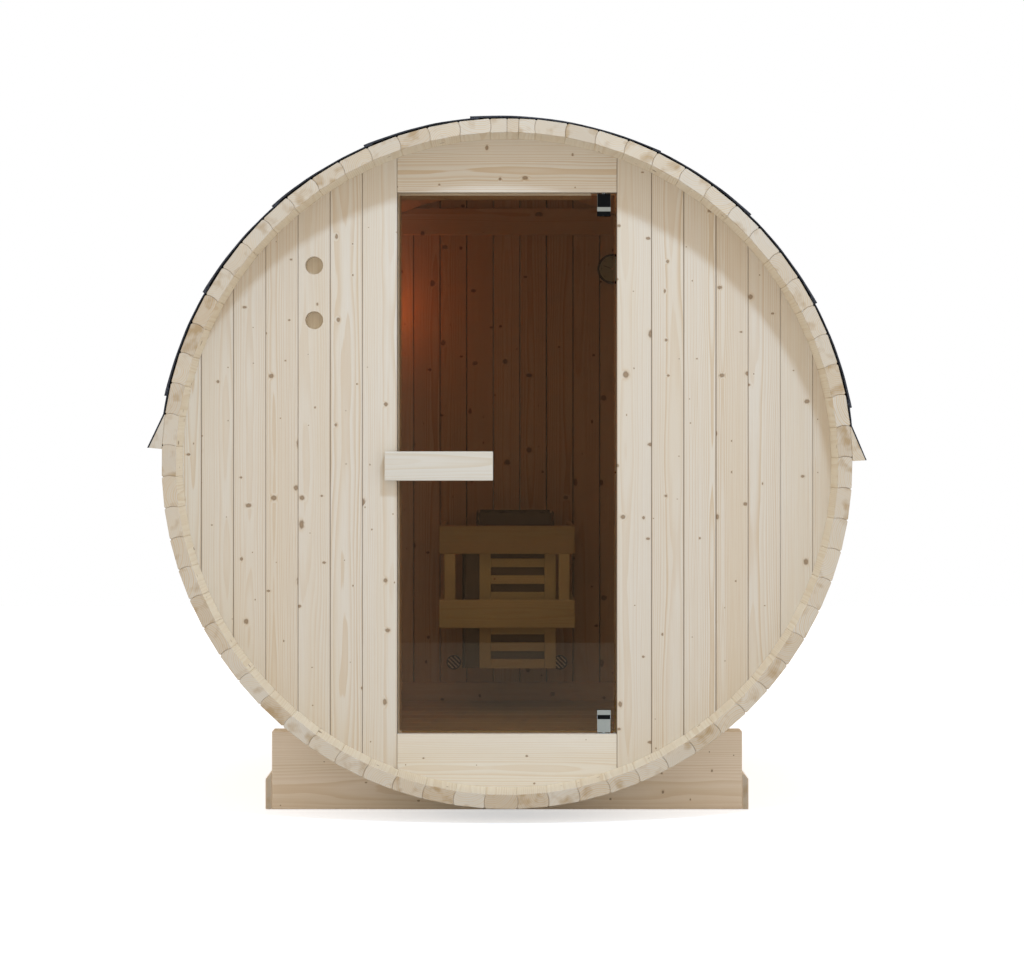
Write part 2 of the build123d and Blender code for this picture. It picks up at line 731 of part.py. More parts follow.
# Dial thermometer on the back wall
dial_z = axis_height + math.sqrt(room_radius**2 - thermometer_offset**2) - thermometer_drop
dial_y = (back_wall_inside - thermometer_depth, back_wall_inside)
save("thermometer", level_rod(thermometer_diameter / 2, thermometer_offset, dial_z, *dial_y))
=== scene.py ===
import bpy
import math
from functools import partial
import numpy as np
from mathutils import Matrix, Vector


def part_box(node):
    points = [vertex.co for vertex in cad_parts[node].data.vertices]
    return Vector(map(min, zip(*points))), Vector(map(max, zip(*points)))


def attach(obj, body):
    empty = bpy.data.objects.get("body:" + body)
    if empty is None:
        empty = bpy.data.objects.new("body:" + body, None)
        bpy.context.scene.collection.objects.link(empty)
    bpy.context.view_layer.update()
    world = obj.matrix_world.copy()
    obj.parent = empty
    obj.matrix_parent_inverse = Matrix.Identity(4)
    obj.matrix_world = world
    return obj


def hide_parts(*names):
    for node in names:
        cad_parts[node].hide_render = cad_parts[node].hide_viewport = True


# A small barrel sauna of fresh spruce, seen from the front in a white studio. Metres, +Z up.
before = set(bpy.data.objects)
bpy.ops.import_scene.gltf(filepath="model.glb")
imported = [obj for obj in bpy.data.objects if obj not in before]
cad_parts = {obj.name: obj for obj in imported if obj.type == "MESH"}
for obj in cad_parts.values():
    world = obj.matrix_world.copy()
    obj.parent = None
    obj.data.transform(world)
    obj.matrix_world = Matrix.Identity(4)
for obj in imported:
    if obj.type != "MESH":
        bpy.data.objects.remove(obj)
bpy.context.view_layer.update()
draw = np.random.default_rng(27)  # one seeded source for every random choice
unit = np.eye(3)


def span(node, axis):
    # lowest and highest place of a CAD node along one axis
    low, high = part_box(node)
    return low[axis], high[axis]


def corners(node):
    # both corners of a CAD node as arrays
    return [np.array(corner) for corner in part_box(node)]


# The barrel's own measures; places come from the frame
barrel = {
    "radius": 0.975,  # to the flat outer faces
    "thickness": 0.040,
    "staveWidth": 0.0895,
    "keyWidth": 0.034,
    "bead": 0.0040,
    "joint": 0.0003,
    "fit": 0.0003,
    "croze": 0.012,
    "crozeSlope": 0.0002,
    "roll": 1.0,  # degrees
    "sideCount": 33,
    "ease": 0.0014,
    "outerEase": 0.0035,  # the outer corners are rounded more
    "facePoints": 4,
    "heartwood": (0.8, 0.06),  # extra tone of a heartwood stave, and the share of such staves
    # painted shade, with a little dust, in the joints on the sawn ends of the staves
    "jointShadeAndDust": (0.0, 0.3),  # how dark the joints are on the sawn ends
}
axisZ = sum(span("front_wall_left_boards", 2)) / 2
wallRadius = -span("front_wall_left_boards", 0)[0]
roomRadius = barrel["radius"] - barrel["thickness"] - barrel["fit"]
frontEnd, backEnd = span("bottom_stave", 1)
frontWall = span("front_wall_header", 1)
backWall = span("back_wall_boards", 1)
staveTurn = 2 * math.atan(barrel["staveWidth"] / 2 / barrel["radius"])
bottomTurn = math.pi + math.radians(barrel["roll"])
cornerRadius = barrel["radius"] / math.cos(staveTurn / 2)
innerCorner = (barrel["radius"] - barrel["thickness"]) / math.cos(staveTurn / 2)


# Meshes

def points(x, y, z):
    # places from three coordinates of matching shapes
    return np.stack(np.broadcast_arrays(x, y, z), -1)


def solidFromRings(rings):
    # loops carried along a path: quads between neighbouring loops and a cap on each end,
    # turned outwards by the sign of the enclosed volume
    count, sides = rings.shape[:2]
    start = np.arange(count - 1)[:, None] * sides
    here = np.arange(sides)[None, :]
    ahead = (here + 1) % sides
    quads = np.stack([start + here, start + ahead, start + sides + ahead, start + sides + here], -1)
    quads = quads.reshape(-1, 4)
    caps = np.stack([np.arange(sides)[::-1], (count - 1) * sides + np.arange(sides)])
    co = rings.reshape(-1, 3).astype(float)
    a, b, c, d = (co[quads[:, k]] - co.mean(0) for k in range(4))
    volume = np.einsum("ij,ij->", a, np.cross(b, c)) + np.einsum("ij,ij->", a, np.cross(c, d))
    for cap in caps:
        fan = co[cap] - co.mean(0)
        volume += np.einsum("ij,ij->", np.cross(fan[1:-1], fan[2:]), np.repeat(fan[:1], sides - 2, 0))
    if volume < 0:
        quads, caps = quads[:, ::-1], caps[:, ::-1]
    return {"co": co, "quads": quads, "caps": caps}


pith = {"across": 0.035, "near": 0.018, "far": 0.085, "along": 30.0}


def wooden(part, along, across, warm=0.0):
    # board coordinates for the grain: across, depth and along the board, measured from a pith
    # that lies beside the board at a random place, and a random tone for the whole board
    along, across = np.array(along, float), np.array(across, float)
    local = part["co"] - part["co"].mean(0)
    axes = np.stack([across, np.cross(along, across), along], -1)
    side = draw.choice([-1.0, 1.0])
    shift = [draw.uniform(-1, 1) * pith["across"], side * draw.uniform(pith["near"], pith["far"]),
             draw.uniform(0, pith["along"])]
    part["centre"], part["axes"], part["shift"] = part["co"].mean(0), axes, np.array(shift)
    part["grain"] = local @ axes + part["shift"]
    part["tone"] = np.full(len(local), draw.uniform(0, 1) + warm)
    part["ends"] = np.zeros(len(part["quads"]))
    part["jointShadeAndDust"] = np.zeros(len(part["quads"]))
    return part


def putAttribute(mesh, name, kind, domain, values):
    # one layer of numbers or vectors for the finish to read
    layer = mesh.attributes.new(name, kind, domain)
    layer.data.foreach_set("vector" if kind == "FLOAT_VECTOR" else "value",
                           np.ascontiguousarray(values, np.float32).ravel())


def meshOf(name, parts):
    # one mesh of several solids, with the wood's layers on it
    bases = np.cumsum([0] + [len(part["co"]) for part in parts[:-1]])
    faces = []
    for part, base in zip(parts, bases):
        faces += (part["quads"] + base).tolist() + (part["caps"] + base).tolist()
    mesh = bpy.data.meshes.new(name)
    mesh.from_pydata(np.concatenate([part["co"] for part in parts]), [], faces)
    if "grain" in parts[0]:
        for layer, kind in (("grain", "FLOAT_VECTOR"), ("tone", "FLOAT")):
            putAttribute(mesh, layer, kind, "POINT", np.concatenate([part[layer] for part in parts]))
        for layer, word, cap in (("endGrain", "ends", [1, 1]), ("jointShadeAndDust", "jointShadeAndDust", [0, 0])):
            values = np.concatenate([[*part[word], *cap] for part in parts])
            putAttribute(mesh, layer, "FLOAT", "FACE", values)
    return mesh


def linked(name, data):
    # a new object at the origin that shows the data
    made = bpy.data.objects.new(name, data)
    bpy.context.scene.collection.objects.link(made)
    return made


def dress(piece, finish, node, body="cabin", sharp=32):
    # smooth faces with creases kept, then the finish, the body that carries it and the node it stands for
    mesh = piece.data
    mesh.polygons.foreach_set("use_smooth", np.ones(len(mesh.polygons), bool))
    mesh.set_sharp_from_angle(angle=math.radians(sharp))
    even = piece.modifiers.new("evenFaces", "WEIGHTED_NORMAL")  # large flats stay flat beside eased edges
    even.keep_sharp = True
    even.weight = 100
    mesh.materials.clear()
    mesh.materials.append(finish)
    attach(piece, body)
    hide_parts(node)


def makePiece(name, parts, finish, node, body="cabin", sharp=32):
    dress(linked(name, meshOf(name, parts)), finish, node, body, sharp)


def barRings(low, high, along, ease, steps=3, stations=0):
    # a rounded rectangle carried along one axis; at each end it draws in over a quarter circle
    low, high = np.array(low, float), np.array(high, float)
    wide, deep = [axis for axis in range(3) if axis != along]
    half, middle = (high - low) / 2, (high + low) / 2
    turn = np.linspace(0, math.pi / 2, steps + 1)
    quarter = np.concatenate([turn + corner * math.pi / 2 for corner in range(4)])
    heading = np.stack([np.cos(quarter), np.sin(quarter)], -1)
    signs = np.repeat([[1, 1], [-1, 1], [-1, -1], [1, -1]], steps + 1, 0)
    rise = np.linspace(0.2, math.pi / 2, steps + 1)  # starts a little round, so that no face is empty
    radius = ease * np.sin(rise)
    reach = half[along] - ease * (1 - np.cos(rise))
    middleRun = np.linspace(-reach[-1], reach[-1], stations + 2)[1:-1]
    place = np.concatenate([-reach, middleRun, reach[::-1]])
    radius = np.concatenate([radius, np.full(stations, ease), radius[::-1]])
    rings = np.empty((len(place), len(signs), 3))
    rings[..., along] = middle[along] + place[:, None]
    for axis, column in ((wide, 0), (deep, 1)):
        corner = signs[:, column] * (half[axis] - ease)
        rings[..., axis] = middle[axis] + corner[None, :] + radius[:, None] * heading[None, :, column]
    return rings


def bar(low, high, along, ease, steps=3):
    # a plain squared timber with its grain along one axis and its wider side as the face
    size = np.abs(np.array(high, float) - np.array(low, float))
    wide = max((axis for axis in range(3) if axis != along), key=lambda axis: size[axis])
    return wooden(solidFromRings(barRings(low, high, along, ease, steps)), unit[along], unit[wide])


def roundReach(offset, radius):
    # half chord of a circle at an offset from its middle
    return np.sqrt(np.maximum(radius**2 - offset**2, 1e-8))


def revolved(x, z, profile, steps=64):
    # a profile of radius and Y place turned about a level axis
    radius, place = np.array(profile, float).T[..., None]
    turn = np.linspace(0, 2 * math.pi, steps, endpoint=False)
    return solidFromRings(points(x + radius * np.cos(turn), place, z + radius * np.sin(turn)))


def drilled(piece, part, holes, past=0.01, steps=40):
    # round holes along Y, taken out of a board, whose grain is then measured again from its points
    cutters = []
    low, high = part["co"][:, 1].min() - past, part["co"][:, 1].max() + past
    for x, z, radius in holes:
        cutter = linked("cutter", meshOf("cutter", [revolved(x, z, [(radius, low), (radius, high)], steps)]))
        hole = piece.modifiers.new("hole", "BOOLEAN")
        hole.object = cutter
        hole.solver = "EXACT"
        cutters.append(cutter)
    graph = bpy.context.evaluated_depsgraph_get()
    cut = bpy.data.meshes.new_from_object(piece.evaluated_get(graph))
    piece.modifiers.clear()
    piece.data = cut
    for cutter in cutters:
        bpy.data.objects.remove(cutter)
    for layer in ("grain", "tone"):
        if layer in cut.attributes:
            cut.attributes.remove(cut.attributes[layer])
    co = np.empty(len(cut.vertices) * 3)
    cut.vertices.foreach_get("co", co)
    co = co.reshape(-1, 3)
    putAttribute(cut, "grain", "FLOAT_VECTOR", "POINT", (co - part["centre"]) @ part["axes"] + part["shift"])
    putAttribute(cut, "tone", "FLOAT", "POINT", np.full(len(co), part["tone"][0]))
    return piece


# Finishes

def paint(text):
    # an sRGB hex value as linear colour
    channel = np.array([int(text[k:k + 2], 16) for k in (1, 3, 5)]) / 255
    linear = np.where(channel <= 0.04045, channel / 12.92, ((channel + 0.055) / 1.055) ** 2.4)
    return (*linear.tolist(), 1.0)


def addNode(tree, kind, inputs=(), **settings):
    # one shader node with its settings; of its inputs, listed in order or by name, a socket is linked,
    # a node is linked by its first output, and any other value is set
    made = tree.nodes.new("ShaderNode" + kind)
    for key, value in settings.items():
        setattr(made, key, value)
    for key, value in inputs.items() if isinstance(inputs, dict) else enumerate(inputs):
        if isinstance(value, bpy.types.Node):
            value = value.outputs[0]
        if isinstance(value, bpy.types.NodeSocket):
            tree.links.new(value, made.inputs[key])
        else:
            made.inputs[key].default_value = value
    return made


def newFinish(name):
    # a bare material, and addNode for its own tree
    finish = bpy.data.materials.new(name)
    finish.use_nodes = True
    finish.node_tree.nodes.clear()
    return finish, partial(addNode, finish.node_tree)


def shown(add, inputs):
    shader = add("BsdfPrincipled", inputs)
    add("OutputMaterial", {"Surface": shader})


# Lengths in metres. Rings of about 3 mm are drawn at 4 mm, and at 5.5 mm on the staves, to show in the
# render. Waves are the noises' counts in a metre across, deep and along the board.
spruce = {
    "early": "#E4DFD4", "late": "#CDB188", "cloud": "#DECFB4", "warm": "#EBD9C0", "endTint": "#DBD4C9",
    # the joint colour is painted shade, with a little dust, in the gaps between boards and staves
    "stain": "#E5D5BD", "knot": "#9A8163", "collar": "#6B523A", "joint": "#6B4E34",
    "ringWidth": 0.004, "ringContrast": 0.5, "endContrast": 0.8, "yearRange": (0.35, 1.0),
    "boardRange": (0.45, 1.5), "wander": 0.022, "ripple": 0.0022, "knotBend": 0.0025,
    "cloudShare": 0.35, "fibreShare": 0.22, "toneShare": 0.25, "stainShare": 0.4, "rough": 0.5,
    "knotAcross": 0.075, "knotAlong": 0.135, "knotLeast": 0.0014, "knotSpread": 0.0060, "knotShare": 0.8,
    "knotSquash": (0.55, 1.7), "knotRagged": 0.9,
    "waves": {"ragged": (190, 190, 120), "wander": (9, 9, 1.3), "ripple": (60, 60, 4.5),
              "fibre": (650, 650, 7), "cloud": (13, 13, 0.9), "smudge": (24, 24, 6)},
}


def sawnSpruce(name, **changes):
    # Planed Nordic spruce: pale early wood with thin amber late wood in every growth ring, fine fibres
    # along the board and small brown knots. The rings are solid, so faces and end grain agree.
    look = {**spruce, **changes}
    finish, add = newFinish(name)
    grain = add("Attribute", attribute_name="grain").outputs["Vector"]
    tone, cut, jointShadeAndDust = (add("Attribute", attribute_name=layer).outputs["Fac"]
                       for layer in ("tone", "endGrain", "jointShadeAndDust"))
    places = add("SeparateXYZ", [grain]).outputs

    # two more numbers for each board, from the decimals of its tone
    chance = []
    for spread in (7.31, 17.7):
        scaled = add("Math", [tone, spread], operation="MULTIPLY")
        chance.append(add("Math", [scaled], operation="FRACT"))

    # noises stretched along the board
    noises = {}
    for word, waves in look["waves"].items():
        stretched = add("VectorMath", [grain, waves], operation="MULTIPLY")
        noises[word] = add("TexNoise", {"Vector": stretched, "Scale": 1.0, "Detail": 2.0})

    # knots: one cell for each pitch of board and a distance from the cell's point, stretched at random
    # and divided by the knot's size; some cells are empty, and sawn ends show none
    pitch = (look["knotAcross"], look["knotAlong"], 1.0)
    flat = add("CombineXYZ", [places[0], places[2]])
    cell = add("VectorMath", [flat, pitch], operation="DIVIDE")
    branch = add("TexVoronoi", {"Vector": cell, "Scale": 1.0}, voronoi_dimensions="2D").outputs
    dice = add("SeparateColor", [branch["Color"]]).outputs
    away = add("VectorMath", [cell, branch["Position"]], operation="SUBTRACT")
    away = add("VectorMath", [away, pitch], operation="MULTIPLY")
    squash = add("MapRange", [dice[2], 0.0, 1.0, *look["knotSquash"]])
    squash = add("CombineXYZ", [1.0, squash])
    away = add("VectorMath", [away, squash], operation="MULTIPLY")
    away = add("VectorMath", [away], operation="LENGTH").outputs["Value"]
    small = add("Math", [dice[0], 2.5], operation="POWER")
    size = add("Math", [small, look["knotSpread"], look["knotLeast"]], operation="MULTIPLY_ADD")
    ratio = add("Math", [away, size], operation="DIVIDE")
    ratio = add("Math", [noises["ragged"], look["knotRagged"], ratio], operation="MULTIPLY_ADD")
    there = add("Math", [dice[1], look["knotShare"]], operation="LESS_THAN")
    there = add("Math", [there, cut], operation="SUBTRACT", use_clamp=True)
    knot = add("MapRange", [ratio, 0.95, 1.95, there, 0.0], interpolation_type="SMOOTHSTEP")
    halo = add("MapRange", [ratio, 1.2, 3.2, there, 0.0], interpolation_type="SMOOTHSTEP")
    collar = add("MapRange", [ratio, 0.7, 1.35, 0.0, knot], interpolation_type="SMOOTHSTEP")

    # growth rings: distance from the pith with a slow wander, bent round the knots; each year fades in
    # to its own strength and ends sharply
    spoke = add("CombineXYZ", [places[0], places[1]])
    spoke = add("VectorMath", [spoke], operation="LENGTH").outputs["Value"]
    for bend, reach in ((noises["wander"], "wander"), (noises["ripple"], "ripple"), (halo, "knotBend")):
        spoke = add("Math", [bend, look[reach], spoke], operation="MULTIPLY_ADD")
    phase = add("Math", [spoke, look["ringWidth"]], operation="DIVIDE")
    year = add("Math", [phase], operation="FLOOR")
    year = add("TexWhiteNoise", {"W": year}, noise_dimensions="1D").outputs["Value"]
    year = add("MapRange", [year, 0.0, 1.0, *look["yearRange"]])
    season = add("Math", [phase], operation="FRACT")
    late = add("MapRange", [season, 0.25, 0.9, 0.0, year], interpolation_type="SMOOTHSTEP")
    late = add("MapRange", [season, 0.93, 1.0, late, 0.0], interpolation_type="SMOOTHSTEP")

    # colour: sawn ends, then rings, clouds, fibres, the board's own tone, stains, knots, and painted shade
    # with a little dust in the joints
    share = add("MapRange", [cut, 0.0, 1.0, look["ringContrast"], look["endContrast"]])
    share = add("Math", [late, share], operation="MULTIPLY")
    marked = add("MapRange", [chance[0], 0.0, 1.0, *look["boardRange"]])
    share = add("Math", [share, marked], operation="MULTIPLY", use_clamp=True)
    smudge = add("MapRange", [noises["smudge"], 0.54, 0.78])
    stain = add("Math", [chance[1], 3.0], operation="POWER")
    stain = add("Math", [stain, look["stainShare"], smudge], operation="MULTIPLY_ADD", use_clamp=True)
    stain = add("Math", [stain, cut], operation="MULTIPLY")
    cloud = add("MapRange", [noises["cloud"], 0.42, 0.75, 0.0, look["cloudShare"]])
    fibre = add("MapRange", [noises["fibre"], 0.45, 0.8, 0.0, look["fibreShare"]])
    board = add("Math", [tone, look["toneShare"]], operation="MULTIPLY")
    colour = paint(look["early"])
    for amount, strength, other, kind in (
            (cut, 0.85, "endTint", "MIX"), (share, 1.0, "late", "MIX"), (cloud, 1.0, "cloud", "MIX"),
            (fibre, 1.0, "late", "MIX"), (board, 1.0, "warm", "MULTIPLY"), (stain, 1.0, "stain", "MULTIPLY"),
            (halo, 0.22, "late", "MIX"), (knot, 0.85, "knot", "MIX"), (collar, 0.5, "collar", "MIX"),
            (jointShadeAndDust, 1.0, "joint", "MIX")):
        amount = add("Math", [amount, strength], operation="MULTIPLY")
        colour = add("Mix", {0: amount, 6: colour, 7: paint(look[other])}, data_type="RGBA",
                     blend_type=kind).outputs[2]
    rough = add("Math", [noises["fibre"], 0.18, look["rough"]], operation="MULTIPLY_ADD")
    height = add("Math", [late, 0.5, noises["fibre"]], operation="MULTIPLY_ADD")
    bump = add("Bump", {"Strength": 0.2, "Distance": 0.0005, "Height": height})
    shown(add, {"Base Color": colour, "Roughness": rough, "Normal": bump})
    return finish


wallWood = sawnSpruce("planed spruce boards")
# the long faces are painted warmer, standing in for warm light bounced onto the staves' inner faces
staveWood = sawnSpruce("planed spruce staves", early="#EFE6D2", late="#D2BA93", endTint="#D2CDC3",
                       stain="#D9C7AC", ringContrast=0.35, ringWidth=0.0055, toneShare=0.15)
floorWood = sawnSpruce("sawn spruce slats", early="#DEE0B8", late="#BFB288", toneShare=0.9, rough=0.6)
# its sawn ends are painted darker, standing in for the shade on the side rails' ends
cradleWood = sawnSpruce("sawn pine cradles", early="#F0E2D0", late="#D2B78F", endTint="#BEB9B1",
                        knotSpread=0.003, rough=0.6)
handleWood = sawnSpruce("sanded spruce handles", early="#DFDDD5", late="#CDBB98", knotShare=0.0)
# painted paler than the boards, standing in for the extra light that falls on the sill
sillWood = sawnSpruce("planed spruce sill", early="#EFECE2", late="#D9C4A2")
shutterWood = sawnSpruce("planed spruce shutter", early="#F7EDD9", knotShare=0.0)
# the back wall's joint colour, near black, is painted shade in its deep V-joints
roomWood = sawnSpruce("planed spruce back wall", joint="#24170D", knot="#7A5F45", collar="#4A3524",
                      toneShare=0.6, ringContrast=0.55, cloudShare=0.4, knotSpread=0.008)
# painted yellower and greener than the back wall, standing in for the daylight that falls on the guard and
# screen through the glass
guardWood = sawnSpruce("planed spruce guard", early="#CBD0AC", late="#BDB388", knotShare=0.3)


def mineralFelt(name, look):
    # Bitumen felt dressed with crushed slate: near black, matt, with pale flecks among the grit
    finish, add = newFinish(name)
    place = add("TexCoord").outputs["Object"]
    grit = add("TexVoronoi", {"Vector": place, "Scale": 1 / look["grit"]}).outputs
    patch = add("TexNoise", {"Vector": place, "Scale": 1 / look["patch"], "Detail": 3.0})
    fleck = add("SeparateColor", [grit["Color"]])
    shade = add("ValToRGB", [fleck])
    for stop, colour in zip(shade.color_ramp.elements, (look["dark"], look["pale"])):
        stop.color = paint(colour)
    worn = add("Mix", {0: patch, 6: shade, 7: paint(look["worn"])}, data_type="RGBA",
               blend_type="MULTIPLY").outputs[2]
    bump = add("Bump", {"Strength": 0.5, "Distance": 0.001, "Height": grit["Distance"]})
    shown(add, {"Base Color": worn, "Roughness": 0.92, "Normal": bump})
    return finish


# grit of 1 to 2 mm, drawn at 3 mm to show
roofFelt = mineralFelt("slate dressed roofing felt", {
    "grit": 0.003, "patch": 0.25, "dark": "#2A2D34", "pale": "#585C66", "worn": "#A8AAB0"})


def brushedMetal(name, look):
    # Rolled, polished or coated metal: the colour is even, and fine lines or haze break up the gloss. The
    # lines are waves in a metre: 1 to 2 mm apart, coarser than real ones to show, or a haze of 25 mm.
    finish, add = newFinish(name)
    place = add("TexCoord").outputs["Object"]
    lines = add("VectorMath", [place, look["lines"]], operation="MULTIPLY")
    haze = add("TexNoise", {"Vector": lines, "Scale": 1.0, "Detail": 3.0})
    rough = add("MapRange", [haze, 0.0, 1.0, *look["gloss"]])
    shade = add("Mix", {0: haze, 6: paint(look["colour"]), 7: paint(look["shade"])},
                data_type="RGBA").outputs[2]
    bump = add("Bump", {"Strength": look["relief"], "Distance": 0.0003, "Height": haze})
    shown(add, {"Base Color": shade, "Roughness": rough, "Metallic": look["metallic"], "Normal": bump})
    return finish


steelBand = brushedMetal("rolled stainless steel", {
    "lines": (60, 900, 60), "gloss": (0.22, 0.42), "colour": "#C9CBCD", "shade": "#A9ABAE",
    "metallic": 1.0, "relief": 0.08})
# plain white paint, not metal: painted sheen standing in for the light that the louvres mirror and the glint
# on the thermometer's hub
paintedSheenWhite = brushedMetal("white paint standing for sheen", {
    "lines": (500, 60, 500), "gloss": (0.4, 0.55), "colour": "#F6FAFC", "shade": "#ECF0F2",
    "metallic": 0.0, "relief": 0.05})
chrome = brushedMetal("chromed brass", {
    "lines": (40, 40, 40), "gloss": (0.04, 0.10), "colour": "#C6D0D8", "shade": "#B8C2CB",
    "metallic": 1.0, "relief": 0.01})
heaterSteel = brushedMetal("powder coated steel", {
    "lines": (900, 900, 900), "gloss": (0.45, 0.62), "colour": "#4F4D48", "shade": "#64615A",
    "metallic": 0.0, "relief": 0.2})
dialFace = brushedMetal("enamelled dial", {
    "lines": (500, 500, 500), "gloss": (0.25, 0.35), "colour": "#BCDCDC", "shade": "#A8C8C8",
    "metallic": 0.0, "relief": 0.02})
# near black: real printed ink on the thermometer, and painted shade in the inlet dishes behind the louvres
inkAndPaintedShade = brushedMetal("printed ink and painted shade", {
    "lines": (800, 800, 800), "gloss": (0.4, 0.5), "colour": "#1C1A19", "shade": "#26221F",
    "metallic": 0.0, "relief": 0.02})


def brokenStone(name, look):
    # Crushed olivine stone: dark grey with paler mineral specks on rough broken faces
    finish, add = newFinish(name)
    place = add("TexCoord").outputs["Object"]
    lump = add("TexNoise", {"Vector": place, "Scale": 1 / look["lump"], "Detail": 6.0})
    speck = add("TexVoronoi", {"Vector": place, "Scale": 1 / look["speck"]}).outputs["Color"]
    mark = add("SeparateColor", [speck])
    base = add("Mix", {0: lump, 6: paint(look["dark"]), 7: paint(look["mid"])}, data_type="RGBA").outputs[2]
    few = add("MapRange", [mark, 0.8, 1.0, 0.0, 0.5])
    colour = add("Mix", {0: few, 6: base, 7: paint(look["pale"])}, data_type="RGBA").outputs[2]
    bump = add("Bump", {"Strength": 0.7, "Distance": 0.003, "Height": lump})
    shown(add, {"Base Color": colour, "Roughness": 0.85, "Normal": bump})
    return finish


saunaStone = brokenStone("broken olivine stone", {
    "lump": 0.03, "speck": 0.004, "dark": "#1F1E1C", "mid": "#3D3B37", "pale": "#6E6A62"})


def tintedGlass(name, look):
    # Bronze float glass, toughened: clear and flat, brown through its thickness, with a faint roller wave
    finish, add = newFinish(name)
    place = add("TexCoord").outputs["Object"]
    wave = add("TexNoise", {"Vector": place, "Scale": 1 / look["wave"], "Detail": 0.0})
    bump = add("Bump", {"Strength": 0.02, "Distance": 0.001, "Height": wave})
    shown(add, {"Base Color": paint(look["tint"]), "Roughness": 0.0, "IOR": 1.5,
                "Transmission Weight": 1.0, "Normal": bump})
    return finish


bronzeGlass = tintedGlass("bronze toughened glass", {"tint": "#B49A7E", "wave": 0.25})
print("finishes ready")


# Staves

def staveEdge(side, half, bulge, steps=8):
    # joint edge from the outer to the inner corner: a straight radius pushed sideways by a flat parabola
    depth = np.linspace(barrel["outerEase"], barrel["thickness"] - barrel["ease"], steps)
    share = depth / barrel["thickness"]
    radius = cornerRadius + share * (innerCorner - cornerRadius)
    across = bulge * barrel["bead"] * (1 - (2 * share - 1) ** 2) - side * barrel["joint"] / 2
    turn = side * half
    return np.stack([radius * math.sin(turn) + across * math.cos(turn),
                     radius * math.cos(turn) - across * math.sin(turn)], -1)


def stave(half, lowBulge, highBulge, turn):
    # outline of the stave carried along the barrel; inside the croze its inner points are held
    # out at the groove's floor, and at both ends the outline draws in a little
    lowEdge, highEdge = staveEdge(-1, half, lowBulge), staveEdge(1, half, highBulge)
    outer, inner = barrel["radius"], barrel["radius"] - barrel["thickness"]
    ease, outerEase, face = barrel["ease"], barrel["outerEase"], barrel["facePoints"]
    top = np.linspace(lowEdge[0, 0] + outerEase, highEdge[0, 0] - outerEase, face)
    foot = np.linspace(highEdge[-1, 0] - ease, lowEdge[-1, 0] + ease, face)
    outline = np.concatenate([
        lowEdge[::-1], np.stack([top, np.full(face, outer)], -1),
        highEdge, np.stack([foot, np.full(face, inner)], -1)])
    stations = [(frontEnd, 0), (frontEnd + ease, 0)]
    for near, far in (frontWall, backWall):
        near, far = near - barrel["fit"], far + barrel["fit"]
        stations += [(near - barrel["crozeSlope"], 0), (near, 1), (far, 1), (far + barrel["crozeSlope"], 0)]
    place, held = np.array(stations + [(backEnd - ease, 0), (backEnd, 0)]).T
    held = held.astype(bool)
    middle = np.array([0.0, (outer + inner) / 2])
    drawn = 1 - ease / np.array([barrel["staveWidth"] / 2, barrel["thickness"] / 2])
    loops = np.repeat(outline[None], len(place), 0)
    loops[[0, -1]] = middle + (outline - middle) * drawn
    loops[held, :, 1] = np.maximum(loops[held, :, 1], inner + barrel["croze"])
    across, out = loops[..., 0], loops[..., 1]
    rings = points(across * math.cos(turn) + out * math.sin(turn), place[:, None],
                   axisZ + out * math.cos(turn) - across * math.sin(turn))
    extra, share = barrel["heartwood"]
    warm = draw.choice([0.0, extra], p=[1 - share, share])
    part = wooden(solidFromRings(rings), (0, 1, 0), (math.cos(turn), 0, -math.sin(turn)), warm)
    count = len(outline)
    joints = np.repeat([1.0, 0.0, 1.0, 0.0], [len(lowEdge), face, len(highEdge), face])
    part["ends"][:count] = part["ends"][-count:] = 1
    # the joint edges of both sawn ends are painted with joint shade and a little dust
    part["jointShadeAndDust"][:count] = part["jointShadeAndDust"][-count:] = joints * draw.uniform(*barrel["jointShadeAndDust"])
    return part


keyTurn = 2 * math.atan(barrel["keyWidth"] / 2 / barrel["radius"])
closerTurn = (2 * math.pi - (2 * barrel["sideCount"] + 1) * staveTurn - keyTurn) / 2
topTurn = bottomTurn + math.pi
beside = (keyTurn + closerTurn) / 2
third = barrel["sideCount"] // 3
makePiece("bottomStave", [stave(staveTurn / 2, -1, 1, bottomTurn)], staveWood, "bottom_stave")
for side, sideName in ((1, "left"), (-1, "right")):
    for group, (word, node) in enumerate((("lower", "lower_"), ("middle", ""), ("upper", "upper_"))):
        parts = [stave(staveTurn / 2, side, side, bottomTurn + side * number * staveTurn)
                 for number in range(1 + third * group, third * (group + 1) + 1)]
        makePiece(f"{sideName}Staves.{word}", parts, staveWood, f"{node}{sideName}_staves")
makePiece("closingStaves", [
    stave(closerTurn / 2, 1, 0, topTurn - beside), stave(keyTurn / 2, 0, 0, topTurn),
    stave(closerTurn / 2, 0, -1, topTurn + beside)], staveWood, "closing_staves")
print("staves done")


# End walls. The sides that get painted joint shade are counted round a board's outline from its face: bevels
# and edges.
walls = {"board": 0.093, "doorBoard": 0.100, "joint": 0.0003, "least": 0.020, "inset": 0.0004,
         "ventDrop": 0.195, "ventSpacing": 0.158, "ventRadius": 0.026, "inletRadius": 0.020,
         # how dark the painted joint shade is, and which sides of a board get it; the back wall's is darker
         "facePoints": 8, "bevel": 0.0016, "jointShadeAndDust": (0.15, 0.6), "shadedSides": (7, 8, 18, 19),
         "roomBevel": 0.0036, "roomJointShade": (0.75, 1.0), "roomShadedSides": (7, 8, 18)}


